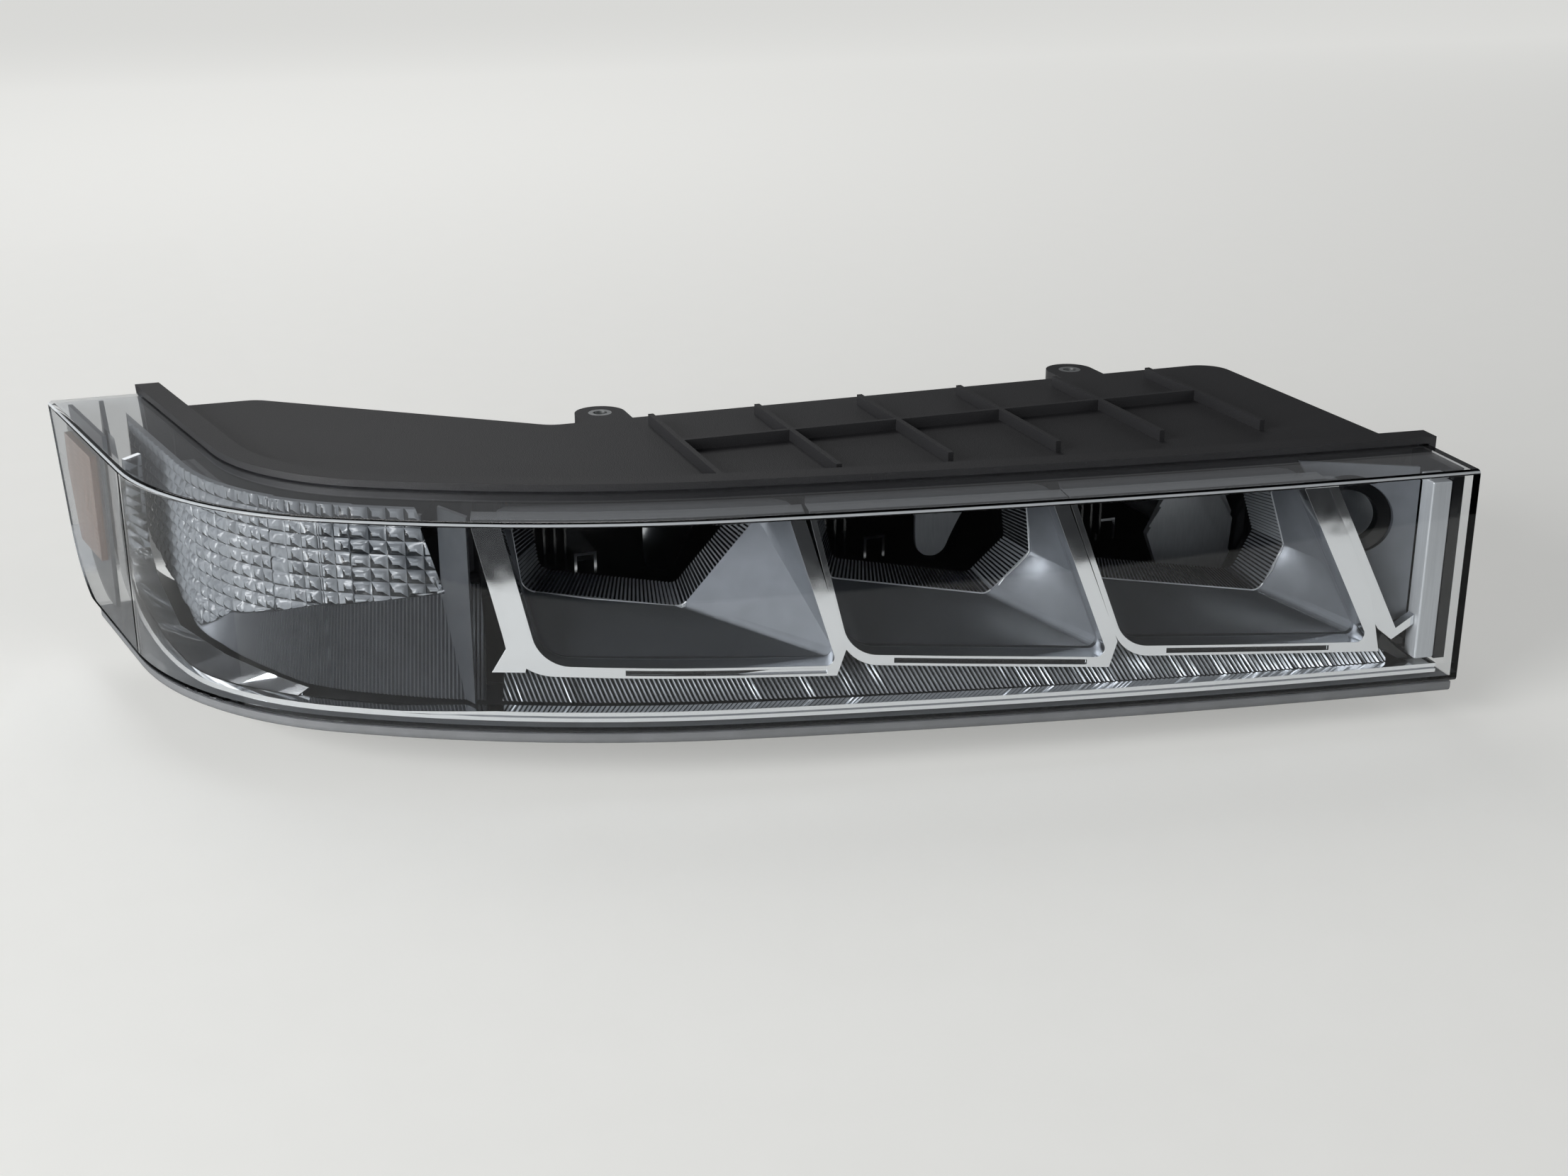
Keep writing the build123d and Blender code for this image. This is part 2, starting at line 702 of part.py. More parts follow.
def bulb_axis():
    """Foot of the turn bulb's axis on the slanted rear wall, and the axis's way out of the housing."""
    first = Vector(TRAY_BEND, TRAY_BACK, BULB_Z)
    along = Vector(TRAY_TAIL_X, TRAY_TAIL_BACK, BULB_Z) - first
    outward = Vector(along.Y, -along.X, 0).normalized()
    return first + along * BULB_SHARE, outward


def bulb_rod(low, high, radius):
    """Round rod on the bulb's axis between two distances out of the wall's outer face."""
    foot, outward = bulb_axis()
    return rod(foot + outward * low, foot + outward * high, radius)


# Bores of the three upper brackets: X, Y, height
LEDGES = (
    (UPPER_INNER_X, TRAY_BACK + EAR_REACH, TRAY_TOP - EAR_THICKNESS / 2),
    (UPPER_OUTER_X, TRAY_BACK + EAR_REACH, TRAY_TOP - EAR_THICKNESS / 2),
    (OUTER_EAR_X, TRAY_TAIL_BACK + EAR_REACH, OUTER_EAR_Z),
)
LOWER_BORE = (LOWER_X, TRAY_BACK + EAR_THICKNESS / 2, floor_at(LOWER_X, TRAY_RISE) - LOWER_DROP)


def bracket():
    """Right-angled fixing bracket, drawn at its bore, with its flange against the housing's rear wall."""
    half = EAR_THICKNESS / 2
    seat = -EAR_REACH, FLANGE_WALL - EAR_REACH
    plate = Cylinder(EAR_RADIUS, EAR_THICKNESS)
    plate += block((-EAR_RADIUS, EAR_RADIUS), (seat[0], 0.0), (-half, half))
    plate += block((-EAR_RADIUS, EAR_RADIUS), seat, (half - FLANGE_DROP, half))
    for side in (-EAR_RADIUS, EAR_RADIUS - GUSSET_WALL):
        corners = [Vector(side, seat[0], -half), Vector(side, seat[1] + GUSSET, -half),
                   Vector(side, seat[0], half - FLANGE_DROP)]
        plate += extrude(Face(Wire.make_polygon(corners)), amount=GUSSET_WALL, dir=(1, 0, 0))
    return plate - Cylinder(BUSH_OUTER, 2 * EAR_THICKNESS)


def lower_tab():
    """Flat tab on the rear wall that hangs below the housing, with its bore from front to back."""
    x, y, z = LOWER_BORE
    faces = TRAY_BACK, TRAY_BACK + EAR_THICKNESS
    tab = rod((x, faces[0], z), (x, faces[1], z), EAR_RADIUS)
    tab += block((x - EAR_RADIUS, x + EAR_RADIUS), faces, (z, floor_at(x, TRAY_RISE) + LOWER_LAP))
    return tab - rod((x, y - EAR_THICKNESS, z), (x, y + EAR_THICKNESS, z), BUSH_OUTER)


def brackets():
    """The four brackets that hold the lamp to the body."""
    return [Pos(*place) * bracket() for place in LEDGES] + [lower_tab()]


def pivot_block(x):
    """Bearing block for one end of the aim axis, hung from the housing's roof."""
    bore = PIVOT_RADIUS + PIVOT_CLEARANCE
    half = PIVOT_BLOCK / 2
    arm = block((x - PIVOT_ARM, x + PIVOT_ARM), (AXIS_Y - half, AXIS_Y + half),
                (AXIS_Z, TRAY_TOP - TRAY_WALL))
    eye = rod((x - PIVOT_ARM, AXIS_Y, AXIS_Z), (x + PIVOT_ARM, AXIS_Y, AXIS_Z), PIVOT_EYE)
    hole = rod((x - PIVOT_REACH, AXIS_Y, AXIS_Z), (x + PIVOT_REACH, AXIS_Y, AXIS_Z), bore)
    return (arm + eye) - hole


def housing():
    """Black moulded body: grooved rim, tray, roof ribs and the seats of what is fixed to it."""
    rim = envelope(-GROOVE_GAP - RIM_WALL, GROOVE_FRONT, RIM_BACK)
    rim -= envelope(LENS_WALL + GROOVE_GAP + RIM_WALL, LENS_WALL, RIM_BACK + RIM_WALL)
    groove = envelope(-GROOVE_GAP, LENS_WALL, LENS_RETURN + SEAL_DEPTH)
    groove -= envelope(LENS_WALL + GROOVE_GAP, 0.0, RIM_BACK + RIM_WALL)
    tray = tray_body(0.0, RIM_BACK - TRAY_WALL, TRAY_RISE, TRAY_TOP)
    hollow = tray_body(TRAY_WALL, TRAY_OPEN_DEPTH, TRAY_RISE + TRAY_WALL, TRAY_TOP - TRAY_WALL)
    body = (rim - groove) + (tray - hollow - groove)
    roof = TRAY_TOP - WELD, TRAY_TOP + ROOF_RIB_HEIGHT
    for index in range(ROOF_RIBS):
        x = ROOF_RIB_START - ROOF_RIB_PITCH * index
        body += block((x - ROOF_RIB_WALL, x), (ROOF_RIB_FRONT, TRAY_BACK - TRAY_CORNER), roof)
    beam = ROOF_RIB_START - ROOF_RIB_PITCH * (ROOF_RIBS - 1) - ROOF_RIB_WALL, ROOF_RIB_START
    body += block(beam, (ROOF_BEAM_Y, ROOF_BEAM_Y + ROOF_RIB_WALL), roof)
    body += rod((PIN_X, TRAY_BACK - WELD, PIN_Z), (PIN_X, TRAY_BACK + PIN_LENGTH, PIN_Z), PIN_RADIUS)
    body -= bulb_rod(-HOLDER_FLANGE, HOLDER_FLANGE, HOLDER_RADIUS + SEAT)
    hole = rod((AIM_X, AIM_BALL_Y, AIM_Z), (AIM_X, TRAY_BACK + EAR_REACH, AIM_Z), AIM_SCREW_RADIUS + SEAT)
    return body - hole


def bushes():
    """Steel bushes that take the clamping load of the fixing bolts."""
    ring = Cylinder(BUSH_OUTER - BUSH_FIT, EAR_THICKNESS) - Cylinder(BUSH_BORE, 2 * EAR_THICKNESS)
    return [Pos(*place) * ring for place in LEDGES] + [Pos(*LOWER_BORE) * Rot(90, 0, 0) * ring]


# Widths of each bright frame outside its opening, the cut at its elbow (along the foot and up the blade),
# and where the slot in its rail starts and ends across its bay
Frame = namedtuple("Frame", "left foot right top run rise slot_start slot_end")
FRAMES = (
    Frame(FIRST_BLADE, RAIL, BLADE_WIDTH, TOP_EDGE, ELBOW_RUN, ELBOW_RISE, -20.0, 63.0),
    Frame(THIN_EDGE, RAIL, BLADE_WIDTH, TOP_EDGE, ELBOW_RUN, ELBOW_RISE, -28.0, 56.0),
    Frame(THIN_EDGE, RAIL, LAST_BLADE, TOP_EDGE, LAST_RUN, LAST_RISE, -16.0, 60.0),
)


def frame_outline(bay, frame, gap=0.0):
    """Outer outline of a bright frame, its lower inboard corner cut off at the blade's elbow."""
    widths = frame.left, frame.foot, frame.right, frame.right, frame.top
    corners = grown(bay.opening, tuple(width + gap for width in widths))
    return clipped(corners, 2, frame.run, frame.rise)


def rail_slot(bay, frame):
    """Shallow slot along the front of one rail."""
    (left, left_height, _), (right, right_height, _) = bay.opening[1:3]
    slope = (right_height - left_height) / (right - left)
    ends = frame.slot_start, frame.slot_end
    tops = [left_height + slope * (end - left) - SLOT_INSET for end in ends]
    corners = ((ends[0], tops[0], 0.0), (ends[0], tops[0] - SLOT_HEIGHT, 0.0),
               (ends[1], tops[1] - SLOT_HEIGHT, 0.0), (ends[1], tops[1], 0.0))
    skin = wall(0.0, TURN_BLOCKS[1].start, FRAME_FRONT - WELD, FRAME_FRONT + SLOT_DEPTH, -SPACE, BEZEL_TOP)
    return prism(bay.station, corners, -FRAME_BACK, 3 * FRAME_BACK) & skin


def frames():
    """Bright frames: four blades and three slotted rails in one moulding."""
    solid = prism(BAYS[0].station, FIRST_FOOT, -FRAME_BACK, 3 * FRAME_BACK)
    for bay, frame in zip(BAYS, FRAMES):
        solid += prism(bay.station, frame_outline(bay, frame), -FRAME_BACK, 3 * FRAME_BACK)
    solid &= wall(0.0, TURN_BLOCKS[1].start, FRAME_FRONT, FRAME_BACK, -SPACE, BEZEL_TOP)
    for bay, frame in zip(BAYS, FRAMES):
        solid -= prism(bay.station, bay.opening, -2 * FRAME_BACK, 4 * FRAME_BACK)
        solid -= rail_slot(bay, frame)
    return solid


def scoops():
    """Satin funnels that lead from each frame back to its aperture."""
    pieces = []
    limit = behind(FRAME_BACK + SEAT, -SPACE, BEZEL_TOP)
    for bay in BAYS:
        grown_opening = even(bay.opening, SCOOP_WALL)
        grown_aperture = even(bay.aperture, SCOOP_WALL)
        outer = prism(bay.station, grown_opening, 0.0, SCOOP_STRAIGHT)
        outer += funnel(bay.station, grown_opening, SCOOP_STRAIGHT, grown_aperture, APERTURE_DEPTH)
        inner = prism(bay.station, bay.opening, -WELD, SCOOP_STRAIGHT)
        inner += funnel(bay.station, bay.opening, SCOOP_STRAIGHT, bay.aperture, APERTURE_DEPTH)
        pieces.append((outer - inner) & limit)
    return pieces


def collars():
    """Dark collars behind the apertures, ribbed from front to back."""
    pieces = []
    for bay in BAYS:
        u = sum(corner[0] for corner in bay.aperture) / len(bay.aperture)
        v = sum(corner[1] for corner in bay.aperture) / len(bay.aperture)
        narrow = tuple((u + (x - u) * COLLAR_SHARE, v + (y - v) * COLLAR_SHARE, radius)
                       for x, y, radius in bay.aperture)
        outer = funnel(bay.station, even(bay.aperture, COLLAR_WALL), APERTURE_DEPTH,
                       even(narrow, COLLAR_WALL), COLLAR_BACK)
        count = round(outline(bay.aperture).outer_wire().length / COLLAR_RIBS.spacing)
        wide = fluted(bay.aperture, count, COLLAR_RIBS.fold)
        tight = [Vector(u, v) + (place - Vector(u, v)) * COLLAR_SHARE for place in wide]
        inner = tapering(bay.station, Face(Wire.make_polygon(wide)), APERTURE_DEPTH,
                         Face(Wire.make_polygon(tight)), COLLAR_BACK)
        pieces.append(outer - inner)
    return pieces


def trim_ring(inset, foot_width, corner_width, front, back, start=BAR_RIGHT):
    """Ring that follows the floor and the outboard corner in front view, slimmer round the corner."""
    outer = front_outline(TRIM_LEFT + inset, TRIM_RADIUS - inset, TRIM_RISE + inset)
    left, foot, corner = TRIM_LEFT + inset + corner_width, inset + foot_width, inset + corner_width
    inner = outline(((left, SPACE, 0.0), (left, floor_at(left, TRIM_RISE + corner), TRIM_RADIUS - corner),
                     (TRIM_TAPER[0], floor_at(TRIM_TAPER[0], TRIM_RISE + corner), 0.0),
                     (TRIM_TAPER[1], floor_at(TRIM_TAPER[1], TRIM_RISE + foot), 0.0),
                     (SPACE, floor_at(SPACE, TRIM_RISE + foot), 0.0), (SPACE, SPACE, 0.0)))
    band = wall(start, TIP, front, back, -SPACE, BEZEL_TOP) & envelope(LENS_WALL + SEAT, 0.0, back + WELD)
    return band & (front_prism(outer) - front_prism(inner))


def corner_trim():
    """Bright bead round the outboard corner and along the foot, with a groove along the foot."""
    strip = trim_ring(0.0, TRIM_WIDTH, TRIM_CORNER_WIDTH, TRIM_FRONT, TRIM_BACK)
    groove = trim_ring(TRIM_GROOVE_INSET, TRIM_GROOVE, 0.0, TRIM_FRONT - WELD, TRIM_FRONT + TRIM_GROOVE)
    return strip - groove


def corner_bevel():
    """Bright bevel that leans back from the bead into the outboard corner and tapers away along the foot."""
    widths = TRIM_WIDTH + 2 * SEAT, TRIM_CORNER_WIDTH + 2 * SEAT
    bead = trim_ring(-SEAT, *widths, TRIM_FRONT - SEAT, TRIM_BACK + SEAT)
    pieces = (ribbon(BEVEL, BEVEL_WALL) - bead).solids()
    return max(pieces, key=lambda piece: piece.volume)


def bezel_skirt():
    """Dark skirt that carries the bezel back to the housing's rim."""
    return trim_ring(SKIRT_INSET, SKIRT_WALL, SKIRT_WALL, TRIM_BACK + SEAT, GROOVE_FRONT - SEAT)


def turn_outline(margin=0.0):
    """Front view of the turn signal's inner lens."""
    corners = ((TURN_LEFT, TURN_TOP, 0.0), (TURN_LEFT, TURN_LEFT_MID_Z, TURN_CORNER_RADIUS),
               (TURN_LEFT_FOOT_X, TURN_LEFT_FOOT_Z, TURN_TIP_RADIUS),
               (TURN_SHOULDER_X, TURN_SHOULDER_Z, TURN_SHOULDER_RADIUS),
               (TURN_MID_X, TURN_MID_Z, TURN_FLOOR_RADIUS), (TURN_RIGHT, TURN_RIGHT_FOOT, TURN_END_RADIUS),
               (TURN_TOP_RIGHT, TURN_TOP, 0.0))
    return outline(even(corners, margin))


def turn_groove(start, end, depth, height):
    """V-shaped groove that follows the face at one height."""
    low = loft([Pos(0, 0, z) * strip_face(start, end, depth - WELD, depth + cut)
                for z, cut in ((height - TURN_GROOVE_WIDTH / 2, 0.0), (height, TURN_GROOVE))], ruled=True)
    high = loft([Pos(0, 0, z) * strip_face(start, end, depth - WELD, depth + cut)
                 for z, cut in ((height, TURN_GROOVE), (height + TURN_GROOVE_WIDTH / 2, 0.0))], ruled=True)
    return low + high


def turn_slot(station, depth):
    """Upright V-shaped groove at one station."""
    half = TURN_GROOVE_WIDTH / 2
    plan = [spot(station - half, depth), spot(station, depth + TURN_GROOVE), spot(station + half, depth),
            spot(station + half, depth - WELD), spot(station - half, depth - WELD)]
    cutter = extrude(Face(Wire.make_polygon(plan)), amount=-SURROUND_FOOT, dir=(0, 0, 1))
    return Pos(0, 0, SURROUND_FOOT) * cutter


def turn_lens():
    """Clear inner lens in three stepped blocks, with crossing grooves that leave pillows between them."""
    end = TIP - TURN_END_SETBACK
    ends = [part.start for part in TURN_BLOCKS[1:]] + [end]
    lens = None
    cutters = []
    for part, stop in zip(TURN_BLOCKS, ends):
        depth = TURN_DEPTH + part.setback
        body = wall(part.start, stop, depth, depth + TURN_WALL, SURROUND_FOOT, TURN_TOP)
        lens = body if lens is None else lens + body
        rows = int((TURN_TOP - SURROUND_FOOT) / TURN_ROW)
        levels = [TURN_TOP - TURN_ROW * row for row in range(1, rows)]
        cutters += [turn_groove(part.start, stop, depth, level) for level in levels]
        columns = round((stop - part.start) / TURN_COLUMN)
        pitch = (stop - part.start) / columns
        cutters += [turn_slot(part.start + pitch * column, depth) for column in range(1, columns)]
    lens &= front_prism(turn_outline())
    return lens - cutters


def surround():
    """Dark ribbed floor below the turn lens and the pillar beside it."""
    floor = ribbed_wall(SURROUND_LEAN, SURROUND_FOOT, SURROUND_HEAD, SURROUND_WALL, SURROUND_RIBS)
    front = FRAME_FRONT + PILLAR_STEP
    pillar_plan = Face(Wire.make_polygon([
        spot(PILLAR_FRONT_STATION, front), spot(PILLAR_STATION, TURN_DEPTH),
        spot(PILLAR_STATION, TURN_DEPTH + SURROUND_WALL),
        spot(PILLAR_FRONT_STATION, front + PILLAR_WALL)]))
    pillar = Pos(0, 0, SURROUND_FOOT) * extrude(pillar_plan, amount=BEZEL_TOP - SURROUND_FOOT, dir=(0, 0, 1))
    limit = outline(((TURN_LEFT, SPACE, 0.0),) + SURROUND_EDGE + ((SURROUND_EDGE[-1][0], SPACE, 0.0),))
    return ((floor + pillar) & front_prism(limit)) - front_prism(turn_outline(SEAT))


def rib_strip():
    """Dark ribbed strip between the rails and the bright bead."""
    ends = STRIP_START - STRIP_RIBS.shift, STRIP_END
    leans = [Lean(station, STRIP_LOW_DEPTH, STRIP_HIGH_DEPTH) for station in ends]
    panel = ribbed_wall(leans, STRIP_FOOT, STRIP_HEAD, STRIP_WALL, STRIP_RIBS)
    panel &= wall(STRIP_START, STRIP_END, 0.0, 2 * FRAME_BACK, STRIP_FOOT, STRIP_HEAD)
    panel &= front_prism(front_outline(-SPACE, 0.0, TRIM_RISE + TRIM_WIDTH + SEAT))
    for bay, frame in zip(BAYS, FRAMES):
        panel -= prism(bay.station, frame_outline(bay, frame, SEAT), -2 * FRAME_BACK, 4 * FRAME_BACK)
    panel -= prism(BAYS[0].station, even(FIRST_FOOT, SEAT), -2 * FRAME_BACK, 4 * FRAME_BACK)
    for corners in (END_WEDGE, END_TRIM):
        panel -= prism(END_STATION, even(corners, SEAT), 0.0, 2 * FRAME_BACK)
    return [solid for solid in panel.solids() if solid.volume > STRIP_SCRAP]


def end_slab(front, back):
    """Upright slab at the slant of the end panel, between two distances behind its front face."""
    left, right = END_OPENING[0][0], END_OPENING[-1][0]
    rate = (END_PANEL_LEFT_DEPTH - END_PANEL_RIGHT_DEPTH) / (right - left)
    reach = right - left
    deep, shallow = END_PANEL_LEFT_DEPTH + reach * rate, END_PANEL_RIGHT_DEPTH - reach * rate
    plan = ((left - reach, deep + front), (right + reach, shallow + front), (right + reach, shallow + back),
            (left - reach, deep + back))
    base = bay_plane(END_STATION, 0.0)
    points = [base.from_local_coords(Vector(u, 0, -depth)) for u, depth in plan]
    return Pos(0, 0, -SPACE) * extrude(Face(Wire.make_polygon(points)), amount=SPACE, dir=(0, 0, 1))


def end_bore(radius, front, back):
    """Round space on the end lamp's axis between two depths."""
    _, _, turn = face_at(END_STATION)
    centre = bay_plane(END_STATION, front).from_local_coords(Vector(END_LAMP_U, END_LAMP_V, 0))
    return rod(centre, centre + Vector(sin(turn), cos(turn), 0) * (back - front), radius)


def end_panel():
    """Satin panel at the inboard end, with the round opening of the end lamp."""
    corners = grown(END_OPENING, (END_PANEL_LAP, END_PANEL_LAP, 0.0, 0.0))
    slab = end_slab(0.0, END_PANEL_WALL) & prism(END_STATION, corners, 0.0, END_CUP_BACK)
    return slab - end_bore(END_LAMP_RADIUS, 0.0, END_CUP_BACK)


def last_frame_space():
    """Space taken by the last bright frame and the gap round it."""
    return prism(BAYS[-1].station, frame_outline(BAYS[-1], FRAMES[-1], SEAT), -FRAME_BACK, 3 * FRAME_BACK)


def end_trim():
    """Bright moulding in the shape of a V between the last blade and the panel, thin at its inboard arm."""
    ring = prism(END_STATION, END_TRIM, END_TRIM_FRONT, END_TRIM_BACK)
    return ring - prism(END_STATION, END_OPENING, 0.0, END_CUP_BACK) - last_frame_space()


def end_wedge():
    """Gloss black wedge below the V-shaped moulding."""
    return prism(END_STATION, END_WEDGE, END_TRIM_FRONT, END_TRIM_BACK) - last_frame_space()


def end_ring():
    """Black ring behind the panel's round opening."""
    ring = end_bore(END_LAMP_RADIUS, END_PANEL_RIGHT_DEPTH, END_PANEL_LEFT_DEPTH + END_RING_DEPTH)
    ring -= end_bore(END_LAMP_RADIUS - END_RING_WALL, 0.0, END_CUP_BACK)
    return ring & end_slab(END_PANEL_WALL + SEAT, END_PANEL_WALL + SEAT + END_RING_DEPTH)


def end_cup():
    """Bright cup of the end lamp behind the ring."""
    inner = END_LAMP_RADIUS - END_RING_WALL
    cup = end_bore(inner + END_CUP_WALL, END_PANEL_RIGHT_DEPTH, END_CUP_BACK)
    cup -= end_bore(inner, 0.0, END_CUP_BACK - END_CUP_WALL)
    return cup - end_slab(-END_CUP_BACK, END_PANEL_WALL + END_RING_DEPTH + 2 * SEAT)


def light_bar():
    """Upright satin bar at the inboard end."""
    bar = wall(BAR_RIGHT, BAR_LEFT, BAR_FRONT, BAR_BACK, BAR_FOOT, BAR_TOP)
    return fillet(bar.edges().filter_by(Axis.Z), radius=BAR_ROUND)


def black_end():
    """Black panel that closes the bezel's inboard end."""
    start = INBOARD_END + LENS_WALL + BLACK_END_GAP
    end = BAR_RIGHT - BLACK_END_GAP
    return wall(start, end, BLACK_END_FRONT, BLACK_END_BACK, BLACK_END_FOOT, BEZEL_TOP)


def turn_chamber():
    """Bright chamber behind the turn lens."""
    front = TURN_DEPTH + TURN_BLOCKS[-1].setback + TURN_WALL + SEAT
    inner_start, inner_end = CHAMBER_START + CHAMBER_WALL, CHAMBER_END - CHAMBER_WALL
    shell = wall(CHAMBER_START, CHAMBER_END, front, CHAMBER_BACK, CHAMBER_FLOOR, CHAMBER_TOP)
    floor, roof = CHAMBER_FLOOR + CHAMBER_WALL, CHAMBER_TOP - CHAMBER_WALL
    shell -= wall(inner_start, inner_end, TURN_DEPTH, CHAMBER_BACK - CHAMBER_WALL, floor, roof)
    return shell - bulb_rod(-CHAMBER_BORE_REACH, 0.0, CHAMBER_BORE)


def bulb():
    """Amber turn bulb."""
    foot, outward = bulb_axis()
    shoulder = HOLDER_STEM + BULB_LENGTH
    glass = bulb_rod(-shoulder, -HOLDER_STEM, BULB_RADIUS)
    plane = Plane(origin=foot - outward * shoulder, z_dir=-outward)
    return glass + Solid.make_cone(BULB_RADIUS, BULB_TIP_RADIUS, BULB_TIP, plane)


def bulb_holder():
    """Twist-lock bulb holder in the slanted rear wall, with two grip wings."""
    holder = bulb_rod(-HOLDER_STEM, 0.0, HOLDER_RADIUS)
    holder += bulb_rod(0.0, HOLDER_FLANGE_WALL, HOLDER_FLANGE)
    end = HOLDER_FLANGE_WALL + HOLDER_GRIP
    holder += bulb_rod(HOLDER_FLANGE_WALL, end, HOLDER_GRIP_RADIUS)
    foot, outward = bulb_axis()
    plane = Plane(origin=foot + outward * (HOLDER_FLANGE_WALL - WELD), x_dir=(0, 0, 1), z_dir=outward)
    wings = plane * Rectangle(2 * HOLDER_FLANGE - HOLDER_WING, HOLDER_WING)
    return holder + extrude(wings, amount=HOLDER_GRIP + WELD, dir=outward)


def side_reflex():
    """Reflex strip on the outboard side, inside the lens."""
    start = TIP - REFLEX_SETBACK
    back = REFLEX_FRONT + REFLEX_WALL
    strip = wall(start, start + REFLEX_LENGTH, REFLEX_FRONT, back, REFLEX_FOOT, REFLEX_TOP)
    return strip & envelope(LENS_WALL + SIDE_PANEL_WALL, 0.0, LENS_RETURN)


def side_panel():
    """Dark backing of the side reflex."""
    start, front = TIP - REFLEX_SETBACK - SIDE_PANEL_MARGIN, REFLEX_FRONT + REFLEX_WALL
    panel = wall(start, TIP + EXTENSION / 2, front, front + SIDE_PANEL_WALL, -SPACE, BEZEL_TOP)
    return panel & envelope(LENS_WALL + WELD, REFLEX_FRONT, front + SIDE_PANEL_WALL + WELD)


def unit_core(unit, inset, front, back):
    """A beam unit's box form, shrunk by a wall, between two distances back."""
    left, right = unit.x - UNIT_HALF_WIDTH + inset, unit.x + UNIT_HALF_WIDTH - inset
    top, foot, radius = UNIT_TOP - inset, UNIT_FOOT + inset, UNIT_CORNER - inset
    corners = ((left, top, radius), (left, foot, radius), (right, foot, radius), (right, top, radius))
    return front_prism(outline(corners), front, back)


def unit_shroud(unit):
    """Black moulded box of one beam unit, open in front, with upright slats in its outboard side."""
    shell = unit_core(unit, 0.0, unit.front, UNIT_BACK)
    shell -= unit_core(unit, UNIT_WALL, unit.front - WELD, UNIT_BACK - UNIT_WALL)
    front = unit.front + SLAT_SETBACK
    for index in range(SLATS):
        x = unit.x - UNIT_HALF_WIDTH + SLAT_LEFT + SLAT_PITCH * index
        shell += block((x, x + SLAT_WALL), (front, front + SLAT_DEPTH), (SLAT_FOOT, UNIT_TOP - UNIT_WALL / 2))
    return shell


def stem(unit, x, z, front):
    """Round stem that carries a reflector on the unit's rear wall."""
    return rod((unit.x + x, front, z), (unit.x + x, UNIT_BACK - UNIT_WALL, z), STEM_RADIUS)


def placed(unit, corners):
    """Outline corners moved from a unit's middle to its place."""
    return tuple((x + unit.x, z, radius) for x, z, radius in corners)


def lobe_reflector(unit):
    """Rounded, dished reflector in the inboard half of a unit."""
    face = unit.front + LOBE_SETBACK
    x = sum(corner[0] for corner in LOBE) / len(LOBE)
    z = sum(corner[1] for corner in LOBE) / len(LOBE)
    ball = Pos(unit.x + x, face - LOBE_RADIUS, z) * (Sphere(LOBE_RADIUS + LOBE_WALL) - Sphere(LOBE_RADIUS))
    dish = ball & front_prism(outline(placed(unit, LOBE)), unit.front, UNIT_BACK - UNIT_WALL)
    return dish + stem(unit, x, z, face + LOBE_WALL / 2)


def facet_reflector(unit):
    """Seven-sided reflector made of slanted flat facets, in the inboard half of the unit."""
    face = unit.front + OCTAGON_SETBACK
    lean = radians(FACET_LEAN)
    x = sum(corner[0] for corner in OCTAGON) / len(OCTAGON)
    z = sum(corner[1] for corner in OCTAGON) / len(OCTAGON)
    teeth = []
    for index in range(FACETS):
        left = (index - FACETS / 2) * FACET_WIDTH
        teeth += [(left, 0.0), (left + FACET_WIDTH, FACET_RISE)]
    reach = FACETS / 2 * FACET_WIDTH
    teeth += [(reach, -FACET_WALL), (-reach, -FACET_WALL)]
    plane = Plane(origin=(unit.x + x - reach * sin(lean), face, z + reach * cos(lean)),
                  x_dir=(cos(lean), 0, sin(lean)), z_dir=(sin(lean), 0, -cos(lean)))
    points = [plane.from_local_coords(Vector(across, front, 0)) for across, front in teeth]
    slab = extrude(Face(Wire.make_polygon(points)), amount=2 * reach, dir=(sin(lean), 0, -cos(lean)))
    mirror = slab & front_prism(outline(placed(unit, OCTAGON)), unit.front, UNIT_BACK - UNIT_WALL)
    return mirror + stem(unit, x, z, face + FACET_WALL / 2)


def light_source(unit):
    """Small bright-edged light guide that stands forward from the unit's rear wall."""
    left = unit.x + unit.source - SOURCE_SIZE / 2
    x, z = (left, left + SOURCE_SIZE), (SOURCE_TOP - SOURCE_SIZE, SOURCE_TOP)
    guide = block(x, (unit.front + SOURCE_SETBACK, UNIT_BACK - UNIT_WALL), z)
    gap = x[0] + SOURCE_WALL, x[1] - SOURCE_WALL
    window = block(gap, (unit.front, UNIT_BACK - UNIT_WALL - SOURCE_SIZE), (z[0] - WELD, z[1] - SOURCE_WALL))
    return guide - window


